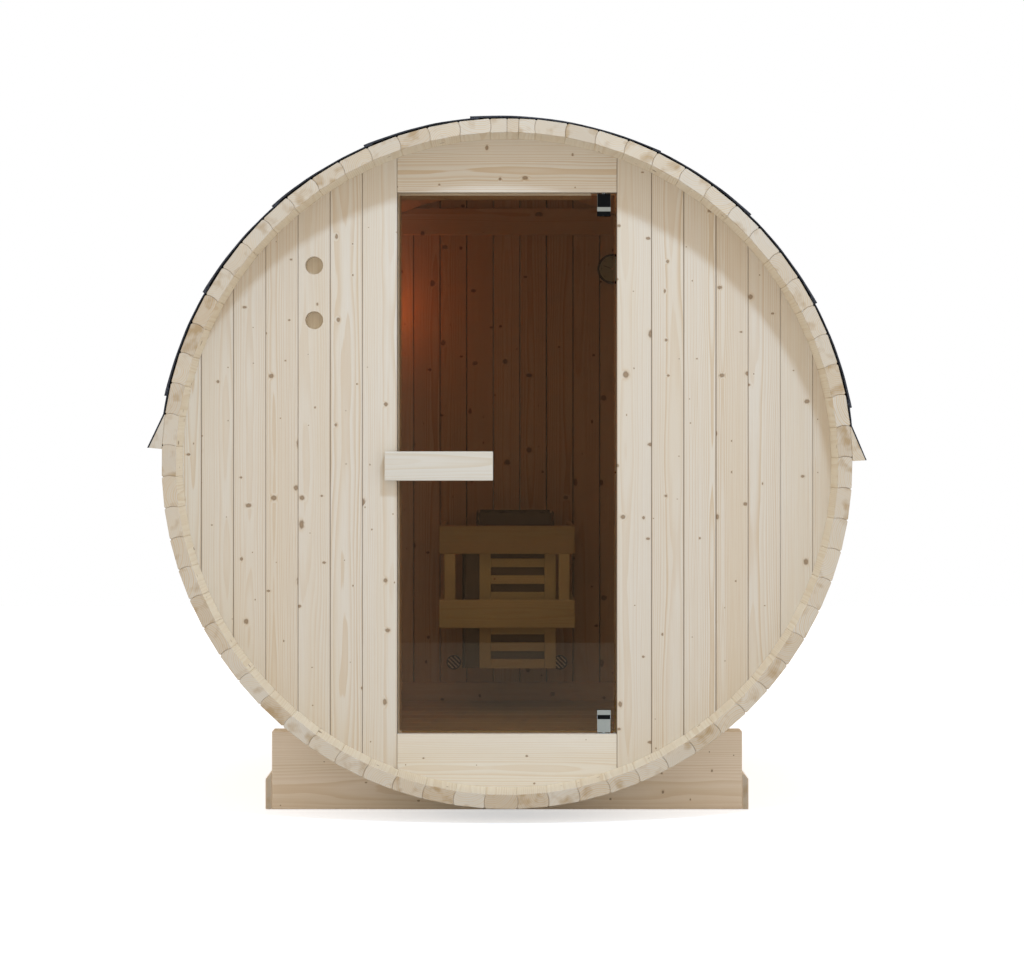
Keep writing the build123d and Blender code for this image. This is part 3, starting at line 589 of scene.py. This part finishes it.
def wallBoard(xLow, xHigh, yRange, bevel, jointShadeAndDust, dark):
    # upright board: an outline with bevelled edges carried from the foot to the crown of the round,
    # each of its points ending on the circle z = axis plus or minus the half chord at its x
    edge = wallRadius - walls["inset"]
    xLow, xHigh = max(xLow, -edge) + walls["joint"] / 2, min(xHigh, edge) - walls["joint"] / 2
    near, far = yRange
    face = np.linspace(xLow + bevel, xHigh - bevel, walls["facePoints"])
    front = np.stack([face, np.full(len(face), near)], -1)
    back = np.stack([face[::-1], np.full(len(face), far)], -1)
    right = [(xHigh, near + bevel), (xHigh, far - bevel)]
    left = [(xLow, far - bevel), (xLow, near + bevel)]
    outline = np.concatenate([front, right, back, left])
    rise = np.linspace(-1, 1, 5)[:, None] * roundReach(outline[:, 0], wallRadius)[None, :]
    part = wooden(solidFromRings(points(*outline.T, axisZ + rise)), unit[2], unit[0])
    # the bevels and edges of the shaded sides are painted with joint shade and a little dust
    part["jointShadeAndDust"].reshape(len(rise) - 1, -1)[:, dark] = draw.uniform(*jointShadeAndDust)
    return part


def jointsFrom(first):
    # joints one board apart, ending on the round
    count = int((wallRadius - walls["least"] - first) / walls["board"])
    return [first + walls["board"] * number for number in range(count + 1)] + [wallRadius]


openingHalf = span("front_wall_right_boards", 0)[0]
frontJoints = [openingHalf, *jointsFrom(openingHalf + walls["doorBoard"])]
ventX = sum(span("front_wall_vent_board", 0)) / 2
ventTop = axisZ + float(roundReach(ventX, wallRadius)) - walls["ventDrop"]
for side, sideName in ((-1, "left"), (1, "right")):
    parts = []
    for near, far in zip(frontJoints, frontJoints[1:]):
        xLow, xHigh = sorted((side * near, side * far))
        part = wallBoard(xLow, xHigh, frontWall, walls["bevel"], walls["jointShadeAndDust"], walls["shadedSides"])
        if not xLow < ventX < xHigh:
            parts.append(part)
            continue
        holes = [(ventX, ventTop - number * walls["ventSpacing"], walls["ventRadius"]) for number in range(2)]
        board = drilled(linked("frontWallVentBoard", meshOf("ventBoard", [part])), part, holes)
        dress(board, wallWood, "front_wall_vent_board")
    makePiece(f"frontWall.{sideName}", parts, wallWood, f"front_wall_{sideName}_boards")


def levelBoard(node, ease, limit, stations=40):
    # level board whose height follows the round: a rounded section carried along x, with its outer
    # edge stretched to the limit at each x
    low, high = corners(node)
    rings = barRings(low, high, 0, ease, 3, stations)
    rings[..., 2] = limit(rings[..., 0], rings[..., 2], low[2], high[2])
    return wooden(solidFromRings(rings), unit[0], unit[2])


def underCrown(x, z, low, high):
    # heights stretched in proportion from the lower edge up to the wall's circle
    top = axisZ + roundReach(x, wallRadius)
    return low + (z - low) * (top - low) / (high - low)


def overFoot(x, z, low, high):
    # heights stretched in proportion from the upper edge down to the wall's circle
    foot = axisZ - roundReach(x, wallRadius)
    return high - (high - z) * (high - foot) / (high - low)


for name, node, limit, wood in (("doorHeader", "front_wall_header", underCrown, wallWood),
                                ("doorSill", "front_wall_sill", overFoot, sillWood)):
    makePiece(name, [levelBoard(node, walls["bevel"], limit)], wood, node)

backJoints = jointsFrom(walls["board"] / 2)
backEdges = [-place for place in backJoints[::-1]] + backJoints
inletX = sum(span("back_vent_grilles", 0)) / 2 + np.array([-1, 1]) * 2 * walls["board"]
inletZ = sum(span("back_vent_grilles", 2)) / 2
parts = []
for xLow, xHigh in zip(backEdges, backEdges[1:]):
    part = wallBoard(xLow, xHigh, backWall, walls["roomBevel"], walls["roomJointShade"], walls["roomShadedSides"])
    inside = [x for x in inletX if xLow < x < xHigh]
    if not inside:
        parts.append(part)
        continue
    name = "backWallInlet.left" if inside[0] < 0 else "backWallInlet.right"
    board = drilled(linked(name, meshOf(name, [part])), part, [(inside[0], inletZ, walls["inletRadius"])])
    dress(board, roomWood, "back_wall_boards")
makePiece("backWall", parts, roomWood, "back_wall_boards")

trim = {"ease": 0.003, "cleat": 0.093, "stopWidth": 0.0107, "stopHeight": 0.019, "stopEase": 0.0015}


def acrossRoom(low, high, ease):
    # a timber from stave to stave: its ends follow the round at each height
    rings = barRings(low, high, 0, ease)
    reach = roundReach(rings[..., 2] - axisZ, roomRadius)
    rings[..., 0] *= reach / np.abs(np.array([low[0], high[0]])).max()
    wide = 1 if high[1] - low[1] > high[2] - low[2] else 2
    return wooden(solidFromRings(rings), unit[0], unit[wide])


low, high = corners("back_wall_cleats")
makePiece("backWallCleats", [
    acrossRoom((*low[:2], foot), (*high[:2], foot + trim["cleat"]), trim["ease"])
    for foot in (low[2], high[2] - trim["cleat"])], roomWood, "back_wall_cleats")
low, high = corners("door_stop_battens")
stopSide = low[0] + trim["stopWidth"]
makePiece("doorStops", [
    bar(low, (stopSide, *high[1:]), 2, trim["stopEase"]),
    bar((stopSide + walls["joint"], low[1], high[2] - trim["stopHeight"]), high, 0, trim["stopEase"])],
    shutterWood, "door_stop_battens")
makePiece("ventShutter", [bar(*corners("vent_shutter"), 2, trim["ease"])], shutterWood,
          "vent_shutter")
print("walls done")


# Floor, cradles and rails
floor = {"slat": 0.088, "gap": 0.007, "ease": 0.003, "bearer": 0.045, "bearerEase": 0.002}
low, high = corners("floor_slats")
pitch = floor["slat"] + floor["gap"]
slats = []
for number in range(round((high[1] - low[1] + floor["gap"]) / pitch)):
    near = low[1] + number * pitch
    slats.append(acrossRoom((low[0], near, low[2]), (high[0], near + floor["slat"], high[2]), floor["ease"]))
makePiece("floorSlats", slats, floorWood, "floor_slats")

low, high = corners("floor_bearers")
bearers = []
for left in (low[0], high[0] - floor["bearer"]):
    rings = barRings((left, *low[1:]), (left + floor["bearer"], *high[1:]), 1, floor["bearerEase"])
    rings[..., 2] = np.maximum(rings[..., 2], axisZ - roundReach(rings[..., 0], roomRadius))
    bearers.append(wooden(solidFromRings(rings), unit[1], unit[0]))
makePiece("floorBearers", bearers, floorWood, "floor_bearers")


def belowBarrel(x, z, low, high):
    # heights squeezed in proportion where the circle of the staves' corners comes lower than the board
    top = np.minimum(high, axisZ - roundReach(x, cornerRadius + barrel["fit"]))
    return low + (z - low) * (top - low) / (high - low)


cradle = {"ease": 0.003, "stations": 120, "railOuter": 0.090, "railInner": 0.110}
for end in ("front", "rear"):
    board = levelBoard(f"{end}_cradle", cradle["ease"], belowBarrel, cradle["stations"])
    makePiece(f"{end}Cradle", [board], cradleWood, f"{end}_cradle")
for sideName in ("left", "right"):
    low, high = corners(f"{sideName}_side_rail")
    rings = barRings(low, high, 1, cradle["ease"])
    inside = (high[0] if sideName == "left" else low[0]) - rings[..., 0]
    slope = (cradle["railInner"] - cradle["railOuter"]) / (high[0] - low[0])
    rings[..., 2] *= (cradle["railInner"] - np.abs(inside) * slope) / cradle["railInner"]
    makePiece(f"{sideName}SideRail", [wooden(solidFromRings(rings), unit[1], unit[2])], cradleWood,
              f"{sideName}_side_rail")
print("floor and cradles done")


# Eave battens and roofing felt
eave = {"number": 18, "height": 0.099, "depth": 0.036, "ease": 0.0015, "hoopRoom": (0.0005, 0.0003)}
hoopThickness = 0.001
feltRadius = cornerRadius + 2 * barrel["fit"] + hoopThickness
barrelAxis = np.array([0, axisZ])


def eavePlaces(side, down, proud):
    # places on the eave stave: down from its upper edge and out from its face
    turn = bottomTurn + side * eave["number"] * staveTurn
    across = np.asarray(down) - barrel["staveWidth"] / 2
    reach = barrel["radius"] + barrel["fit"] + np.asarray(proud)
    return np.stack([math.sin(turn) * reach - side * math.cos(turn) * across,
                     axisZ + math.cos(turn) * reach + side * math.sin(turn) * across], -1)


def alongBarrel(outlines, stations):
    # outlines of x and z, one for each station along the barrel
    return solidFromRings(points(outlines[..., 0], stations, outlines[..., 1]))


for side, sideName in ((1, "left"), (-1, "right")):
    # a wedge along the barrel, hollowed where it crosses the hoops
    height, depth, ease = eave["height"], eave["depth"], eave["ease"]
    down = [ease, height - ease, height, height, height - ease, ease]
    proud = [ease * depth / height, depth - ease * depth / height, depth - 2 * ease, ease, 0, 0]
    outline = eavePlaces(side, down, proud)
    stations, held = [frontEnd], [False]
    for hoop in ("front_hoop", "rear_hoop"):
        near, far = span(hoop, 1)
        wide, tight = eave["hoopRoom"]
        stations += [near - wide, near - tight, far + tight, far + wide]
        held += [False, True, True, False]
    stations, held = np.array(stations + [backEnd]), np.array(held + [False])
    outlines = np.repeat(outline[None], len(stations), 0)
    lift = np.maximum(feltRadius / np.hypot(outline[:, 0], outline[:, 1] - axisZ), 1)[:, None]
    outlines[held] = barrelAxis + (outline - barrelAxis) * lift
    batten = wooden(alongBarrel(outlines, stations[:, None]), unit[1], unit[2])
    makePiece(f"{sideName}EaveBatten", [batten], staveWood, f"{sideName}_eave_batten")

felt = {"thickness": 0.0026, "curl": 0.9, "exposure": 0.310, "lap": 0.024, "rise": 0.051,
        "wave": 0.0006, "edge": 0.003, "stations": 48, "steps": 20, "dropSteps": 8,
        "leftCourses": 4, "rightCourses": 3, "crease": 40}
exposureTurn, lapTurn = felt["exposure"] / feltRadius, felt["lap"] / feltRadius
lapShare = felt["lap"] / (felt["exposure"] + felt["lap"])
lapLift = (felt["thickness"] + barrel["fit"]) / (1 - 2 * lapShare)
battenTop = (eave["number"] + 0.5) * staveTurn
firstCourse = battenTop + felt["rise"] / barrel["radius"]


def feltSheet(inside, outside):
    # a strip's section carried along the barrel, with a slow wave outwards and an uneven cut at the ends
    outline = np.concatenate([inside, outside[::-1]])
    stations = np.linspace(frontEnd, backEnd, felt["stations"])[:, None]
    phase = draw.uniform(0, 2 * math.pi, 4)
    bend = np.linspace(0, math.pi, len(inside))
    bend = np.concatenate([bend, bend[::-1]])
    swell = np.sin(stations * 9 + phase[0] + bend * 2) + np.sin(stations * 23 + phase[1] + bend)
    swell = felt["wave"] * (swell + 2) / 2
    away = outline - barrelAxis
    away /= np.linalg.norm(away, axis=1)[:, None]
    outlines = outline[None] + swell[..., None] * away[None]
    cut = felt["edge"] * (np.sin(bend * 3 + phase[2]) + np.sin(bend * 7 + phase[3])) / 2
    return alongBarrel(outlines, stations + cut[None, :] * (np.abs(stations) / backEnd) ** 8)


def roundPoints(turns, radii):
    # polar places about the barrel's axis, turned from straight up
    return np.stack([radii * np.sin(turns), axisZ + radii * np.cos(turns)], -1)


def feltCourse(start, end, lift):
    # a course from its lower to its upper edge, with its height over the staves given along it and
    # its lower edge swollen
    turns = np.linspace(start, end, felt["steps"])
    radii = feltRadius + lift(np.linspace(0, 1, felt["steps"]))
    curl = felt["thickness"] * (1 + felt["curl"] * np.linspace(1, 0, felt["steps"]) ** 2)
    return feltSheet(roundPoints(turns, radii), roundPoints(turns, radii + curl))


def lapDown(share):
    # over the course below at the lower edge, then evenly down to the staves
    return lapLift * (1 - share)


def lapBoth(share):
    # raised at both edges by the fourth power of the distance from the middle
    return lapLift * (2 * share - 1) ** 4


def eaveStrip(side):
    # the lowest strip: round the barrel to the batten's upper edge, then straight down to its tip
    slope = math.atan2(eave["depth"], eave["height"])
    rise, thick = barrel["fit"] / math.cos(slope), felt["thickness"] / math.cos(slope)
    turns = bottomTurn + side * np.linspace(firstCourse + lapTurn, battenTop, felt["steps"])
    share = np.linspace(0, 1, felt["dropSteps"])[1:, None]
    sheets = []
    for extra, proud in ((0.0, rise), (felt["thickness"], rise + thick)):
        arc = roundPoints(turns, feltRadius + extra)
        tip = eavePlaces(side, eave["height"], eave["depth"] + proud)
        sheets.append(np.concatenate([arc, arc[-1] + share * (tip - arc[-1])]))
    return feltSheet(*sheets)


ridge = []
for side, sideName in ((1, "left"), (-1, "right")):
    parts = [eaveStrip(side)]
    count = felt[f"{sideName}Courses"]
    for number in range(count):
        start = bottomTurn + side * (firstCourse + number * exposureTurn)
        parts.append(feltCourse(start, start + side * (exposureTurn + lapTurn), lapDown))
    ridge.append(bottomTurn + side * (firstCourse + count * exposureTurn))
    makePiece(f"roofFelt.{sideName}", parts, roofFelt, f"{sideName}_roof_felt",
              sharp=felt["crease"])
makePiece("roofFelt.ridge", [feltCourse(ridge[0], ridge[1] + 2 * math.pi, lapBoth)], roofFelt,
          "ridge_felt", sharp=felt["crease"])
print("roof done")


# Glass door with its wooden handles and hinges
door = {"arris": 0.001, "glassCrease": 5, "handleEase": 0.0035}
glassLow, glassHigh = corners("door_glass")
makePiece("doorGlass", [solidFromRings(barRings(glassLow, glassHigh, 2, door["arris"], 2))], bronzeGlass,
          "door_glass", "door", door["glassCrease"])
for side in ("outer", "inner"):
    makePiece(f"{side}Handle", [bar(*corners(f"{side}_handle"), 0, door["handleEase"], 5)], handleWood,
              f"{side}_handle", "door")

clamp = {"height": 0.064, "plate": 0.005, "leaf": 0.002, "foot": 0.014, "bevel": 0.012, "ease": 0.0008,
         "bridge": 0.004, "seat": 0.0001, "bridgeEase": 0.0005, "pin": 0.005, "pinSteps": 24, "crease": 8}
clampLow, clampHigh = corners("hinge_clamps")


def clampPlate(way, edge, face, outward):
    # section of a clamp plate carried across the glass: thick at the hinge, then a bevel down to a thin leaf
    height, ease, slopeEnd = clamp["height"], clamp["ease"], clamp["height"] - clamp["foot"]
    z = np.array([0, slopeEnd - clamp["bevel"], slopeEnd, height, height, 0])
    y = np.array([clamp["plate"], clamp["plate"], clamp["leaf"], clamp["leaf"], 0, 0])
    outline = np.stack([face + outward * y, edge - way * z], -1)
    x = np.array([clampLow[0], clampLow[0] + ease, clampHigh[0] - ease, clampHigh[0]])
    outlines = np.repeat(outline[None], len(x), 0)
    outlines[[0, -1], :2, 0] -= outward * ease
    return solidFromRings(points(x[:, None], outlines[..., 0], outlines[..., 1]))


parts = []
turn = np.linspace(0, 2 * math.pi, clamp["pinSteps"], endpoint=False)
pinX = (clampLow[0] + clampHigh[0]) / 2 + clamp["pin"] * np.cos(turn)
pinY = (glassLow[1] + glassHigh[1]) / 2 + clamp["pin"] * np.sin(turn)
for way, end, tip in ((1, glassHigh[2], clampHigh[2]), (-1, glassLow[2], clampLow[2])):
    # two plates, a bridge over the edge of the glass and a pin
    edge = end + way * clamp["bridge"]
    parts += [clampPlate(way, edge, glassLow[1], -1), clampPlate(way, edge, glassHigh[1], 1)]
    low, high = sorted((end + way * clamp["seat"], edge))
    parts.append(solidFromRings(barRings((clampLow[0], glassLow[1], low), (clampHigh[0], glassHigh[1], high),
                                         0, clamp["bridgeEase"])))
    parts.append(solidFromRings(points(pinX, pinY, np.array([[edge], [tip]]))))
makePiece("hingeClamps", parts, chrome, "hinge_clamps", "door", clamp["crease"])
print("door done")


# Heater, its screen and guard
screen = {"stile": 0.038, "slot": 0.027, "pitch": 0.056, "foot": 0.031, "inset": 0.001, "ease": 0.0025}
low, high = corners("heater_screen")
left, right = low[0] + screen["stile"], high[0] - screen["stile"]
parts = [bar(low, (left, *high[1:]), 2, screen["ease"]), bar((right, *low[1:]), high, 2, screen["ease"])]
levels = [low[2]]
for number in range(int((high[2] - low[2] - screen["foot"]) / screen["pitch"])):
    slotLow = low[2] + screen["foot"] + number * screen["pitch"]
    levels += [slotLow, slotLow + screen["slot"]]
levels.append(high[2])
for foot, crown in zip(levels[::2], levels[1::2]):
    parts.append(bar((left, low[1] + screen["inset"], foot), (right, high[1] - screen["inset"], crown), 0,
                     screen["ease"]))
makePiece("heaterScreen", parts, guardWood, "heater_screen")

guard = {"rail": 0.0925, "post": 0.037, "side": 0.0165, "ease": 0.004}
low, high = corners("guard_front_rails")
feet = (low[2], high[2] - guard["rail"])
makePiece("guardFrontRails", [
    bar((*low[:2], foot), (*high[:2], foot + guard["rail"]), 0, guard["ease"], 4) for foot in feet],
    guardWood, "guard_front_rails")
low, high = corners("guard_side_rails")
makePiece("guardSideRails", [
    bar((left, low[1], foot), (left + guard["side"], high[1], foot + guard["rail"]), 1, guard["ease"])
    for foot in feet for left in (low[0], high[0] - guard["side"])],
    guardWood, "guard_side_rails")
low, high = corners("guard_posts")
makePiece("guardPosts", [
    bar((left, *low[1:]), (left + guard["post"], *high[1:]), 2, guard["ease"])
    for left in (low[0], high[0] - guard["post"])], guardWood, "guard_posts")

stones = {"left": 0.103, "right": 0.158, "margin": 0.012, "across": 4, "deep": 5, "jitter": 0.12,
          "layers": 2, "lift": 0.9, "layerLift": 0.7, "size": 0.034, "spread": 0.006, "share": 0.86,
          "swells": (0.16, 0.10, 0.06, 0.04), "flatten": (0.75, 1.1),
          "pole": 0.08, "turns": 14, "steps": 22, "crease": 60}


def stoneLump(centre, size):
    # a ball whose radius swells and shrinks with a few random waves, flattened at random
    tilt = np.linspace(stones["pole"], math.pi - stones["pole"], stones["turns"])[:, None]
    turn = np.linspace(0, 2 * math.pi, stones["steps"], endpoint=False)
    heading = points(np.sin(tilt) * np.cos(turn), np.sin(tilt) * np.sin(turn), np.cos(tilt))
    swell = np.ones(heading.shape[:2])
    for weight in stones["swells"]:
        lean = draw.normal(size=3) * (0.3 / weight)
        swell += weight * np.sin(heading @ lean + draw.uniform(0, 2 * math.pi))
    shape = draw.uniform(*stones["flatten"], 3)
    return solidFromRings(centre + size * shape * swell[..., None] * heading)


low, high = corners("heater_casing")
low[0], high[0] = -stones["left"], stones["right"]
floorZ = span("heater_stones", 2)[0]
grid = np.array([stones["across"], stones["deep"]])
parts = []
for layer in range(stones["layers"]):
    for number in range(grid.prod()):
        cell = np.array(divmod(number, stones["deep"]))
        share = (cell + 0.5 + stones["jitter"] * draw.uniform(-1, 1, 2)) / grid
        flat = low[:2] + stones["margin"] + share * (high[:2] - low[:2] - 2 * stones["margin"])
        height = floorZ + stones["size"] * (stones["lift"] + stones["layerLift"] * layer)
        size = (stones["size"] + draw.uniform(-1, 1) * stones["spread"]) * stones["share"]
        parts.append(stoneLump(np.array([*flat, height]), size))
makePiece("heaterStones", parts, saunaStone, "heater_stones", sharp=stones["crease"])

# Round inlet grilles: a turned dish with a rim, painted dark for the shade behind the louvres, and louvres
# across it at 45 degrees, painted white for the light they mirror
grille = {"radius": 0.0255, "rim": 0.004, "round": 0.001, "floor": 0.0006, "louvres": 4, "thick": 0.0026,
          "ease": 0.0005}
low, high = corners("back_vent_grilles")
front, back, rim, ease = low[1], high[1], grille["radius"], grille["round"]
pane = rim - grille["rim"]
dishes, louvres = [], []
for x in inletX:
    dishes.append(revolved(x, inletZ, [
        (rim, back), (rim, front + 1.5 * ease), (rim - ease, front + 0.3 * ease), (rim - 2 * ease, front),
        (pane + ease, front), (pane, front + ease), (pane, back - grille["floor"])], 48))
    for number in range(grille["louvres"]):
        level = (number + 0.5) / grille["louvres"] * 2 - 1
        half = pane * math.sqrt(1 - level**2)
        z = inletZ + level * pane
        rings = barRings((x - half, front + ease, z - grille["thick"]),
                         (x + half, back - 2 * grille["floor"], z + grille["thick"]), 0, grille["ease"], 2)
        across, rise = rings[..., 0] - x, rings[..., 2] - inletZ
        rings[..., 0] = x + (across + rise) * math.sqrt(0.5)
        rings[..., 2] = inletZ + (rise - across) * math.sqrt(0.5)
        louvres.append(solidFromRings(rings))
makePiece("inletDishes", dishes, inkAndPaintedShade, "back_vent_grilles")
makePiece("inletLouvres", louvres, paintedSheenWhite, "back_vent_grilles")

# Dial thermometer: turned case, enamelled face, printed marks and a needle; a mark is its inner end and
# half its width
dial = {"rim": 0.007, "well": 0.004, "face": 0.0012, "gap": 0.0001, "ink": 0.0004, "marks": 31, "sweep": 270,
        "every": 5, "longMark": (0.034, 0.0008), "shortMark": (0.037, 0.0004), "markEnd": 0.041,
        "needle": (-0.008, 0.034, 0.0009), "needleTurn": -70, "hub": (0.0035, 0.0015), "step": 0.001}
low, high = corners("thermometer")
dialX, dialZ, dialR = (low[0] + high[0]) / 2, (low[2] + high[2]) / 2, (high[0] - low[0]) / 2
front, back, well, inner = low[1], high[1], low[1] + dial["well"], dialR - dial["rim"]
step, (hubFoot, hubTop) = dial["step"], dial["hub"]


def dialPiece(name, parts, finish):
    makePiece(name, parts, finish, "thermometer")


def dialStroke(turn, inner, outer, half):
    # a thin raised stroke on the dial, along a spoke
    spoke = np.array([math.sin(turn), 0, math.cos(turn)])
    aside = np.array([math.cos(turn), 0, -math.sin(turn)])
    middle = np.array([dialX, well, dialZ])
    corner = [(-half, 0), (half, 0), (half, -dial["ink"]), (-half, -dial["ink"])]
    rings = [[middle + spoke * reach + aside * wide + unit[1] * deep for wide, deep in corner]
             for reach in (inner, outer)]
    return solidFromRings(np.array(rings))


dialPiece("thermometerCase", [revolved(dialX, dialZ, [
    (dialR - 4 * step, back), (dialR, back - 3 * step), (dialR, front + 3 * step), (dialR - 2 * step, front),
    (dialR - 5 * step, front), (inner, front + 2 * step), (inner, well + dial["ink"])])], inkAndPaintedShade)
dialPiece("thermometerFace", [revolved(dialX, dialZ, [
    (inner - dial["gap"], well + dial["face"]), (inner - dial["gap"], well)])], dialFace)
parts = []
for number, turn in enumerate(np.radians(np.linspace(-dial["sweep"] / 2, dial["sweep"] / 2, dial["marks"]))):
    start, half = dial["shortMark"] if number % dial["every"] else dial["longMark"]
    parts.append(dialStroke(turn, start, dial["markEnd"], half))
parts.append(dialStroke(math.radians(dial["needleTurn"]), *dial["needle"]))
dialPiece("thermometerMarks", parts, inkAndPaintedShade)
# the hub is painted white, standing in for the glint at the middle of the dial
dialPiece("thermometerHub", [revolved(dialX, dialZ, [
    (hubFoot, well), (hubFoot, well - step), (hubTop, well - 2 * step)], 24)], paintedSheenWhite)
print("heater and fittings done")

# CAD pieces that keep their shape
kept = {"front_hoop": steelBand, "rear_hoop": steelBand, "handle_bolts": steelBand, "hinge_bushes": chrome,
        "heater_casing": heaterSteel, "heater_hangers": heaterSteel}
for node, finish in kept.items():
    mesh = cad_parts[node].data
    mesh.materials.clear()
    mesh.materials.append(finish)


# Studio: pale floor, white surroundings, one high lamp in front and a little light inside the cabin. Each
# lamp has its kind, place, power, colour, what it is aimed at and its size.
studio = {
    "white": "#FFFFFF", "ambient": 0.80, "ambientColour": "#FFF3E4",
    "floor": "#E8EDFA", "bounce": "#EAECF0", "mirrored": "#CCC9BC",
    "floorGlow": (0.55, 0.7), "floorFade": (1.2, 3.2), "floorBox": (-7.0, 7.0, -5.9, 7.0),
    "card": "#050505", "cardY": -9.5, "cardBox": (-9.0, 9.0, -1.0, 6.0),
    "haze": 0.25, "hazeColour": "#FFF4DC", "hazeFade": (-0.42, -0.8),
}
lamps = {
    "keyLamp": ("AREA", (0.8, -3.2, 4.5), 84.0, "#C6E1FF", (0.0, -0.7, 0.9), {"size": 0.36}),
    "doorLight": ("AREA", (-0.10, -0.50, 0.78), 0.55, "#FFEAD2", (-0.05, 0.6, 0.70),
                  {"shape": "RECTANGLE", "size": 0.55, "size_y": 1.2}),
    "floorLight": ("AREA", (0.0, -0.10, 0.66), 0.24, "#FFEAD2", (0.0, 0.0, 0.0),
                   {"shape": "RECTANGLE", "size": 0.5, "size_y": 0.7}),
    "wallLamp": ("POINT", (-0.46, 0.50, 1.54), 0.95, "#FF7E30", (-0.46, 0.50, 0.0),
                 {"shadow_soft_size": 0.05}),
}

world = bpy.data.worlds.new("white studio")
bpy.context.scene.world = world
world.use_nodes = True
world.node_tree.nodes.clear()
add = partial(addNode, world.node_tree)
path = add("LightPath").outputs
seen = add("Math", [path["Is Camera Ray"], path["Is Glossy Ray"]], operation="MAXIMUM")
seen = add("Math", [seen, path["Is Transmission Ray"]], operation="MAXIMUM")
lit = add("Background", {"Color": paint(studio["ambientColour"]), "Strength": studio["ambient"]})
white = add("Background", {"Color": paint(studio["white"]), "Strength": 1.0})
add("OutputWorld", {"Surface": add("MixShader", [seen, lit, white])})


def stageSheet(name, finish, places):
    # a flat sheet of the studio, of four corners
    sheet = bpy.data.meshes.new(name)
    sheet.from_pydata(places, [], [(0, 1, 2, 3)])
    sheet.materials.append(finish)
    made = linked(name, sheet)
    return made


# the floor has one colour for the camera, one for what it lights and one for what mirrors it
paleFloor, add = newFinish("pale studio floor")
path = add("LightPath").outputs
place = add("TexCoord").outputs["Object"]
away = add("VectorMath", [place], operation="LENGTH").outputs["Value"]
fade = add("MapRange", [away, *studio["floorFade"], *studio["floorGlow"]])
glow = add("Math", [path["Is Camera Ray"], fade], operation="MULTIPLY")
tint = paint(studio["bounce"])
for ray, other in (("Is Camera Ray", "floor"), ("Is Glossy Ray", "mirrored")):
    tint = add("Mix", {0: path[ray], 6: tint, 7: paint(studio[other])}, data_type="RGBA").outputs[2]
shown(add, {"Base Color": tint, "Roughness": 0.9, "Emission Color": paint(studio["white"]),
            "Emission Strength": glow})
left, right, near, far = studio["floorBox"]
stageSheet("studioFloor", paleFloor, [(left, near, 0), (right, near, 0), (right, far, 0), (left, far, 0)])

# a dark card behind the camera, seen only in reflections, keeps the door glass deep; it pales to the
# left, for the light there that the glass mirrors
card, add = newFinish("black card")
place = add("TexCoord").outputs["Object"]
across = add("SeparateXYZ", [place])
glow = add("MapRange", [across, *studio["hazeFade"], 0.0, studio["haze"]])
shown(add, {"Base Color": paint(studio["card"]), "Roughness": 1.0,
            "Emission Color": paint(studio["hazeColour"]), "Emission Strength": glow})
y = studio["cardY"]
left, right, foot, top = studio["cardBox"]
places = [(left, y, foot), (right, y, foot), (right, y, top), (left, y, top)]
blackCard = stageSheet("blackCard", card, places)
for ray in ("camera", "diffuse", "transmission", "volume_scatter", "shadow"):
    setattr(blackCard, f"visible_{ray}", False)

for name, (kind, place, power, colour, aim, settings) in lamps.items():
    light = bpy.data.lights.new(name, kind)
    light.energy = power
    light.color = paint(colour)[:3]
    for key, value in settings.items():
        setattr(light, key, value)
    made = linked(name, light)
    made.location = place
    x, y, z = np.array(aim) - np.array(place)
    made.rotation_euler = (math.atan2(math.hypot(x, y), -z), 0, math.atan2(-x, y))

# Camera at the photograph's place: level, with its principal point a little off the middle of the picture
view = {"place": (0.0, -6.760, 1.084), "pixels": (1024, 957), "focal": 2110.5, "principal": (507.0, 441.0),
        "sensor": 36.0}
camera = bpy.data.cameras.new("camera")
camera.sensor_width = view["sensor"]
camera.lens = view["focal"] * view["sensor"] / view["pixels"][0]
camera.shift_x = (view["pixels"][0] / 2 - view["principal"][0]) / view["pixels"][0]
camera.shift_y = (view["principal"][1] - view["pixels"][1] / 2) / view["pixels"][0]
eye = linked("camera", camera)
eye.location = view["place"]
eye.rotation_euler = (math.pi / 2, 0, 0)
bpy.context.scene.camera = eye
bpy.context.scene.view_settings.view_transform = "Standard"
print("studio done")
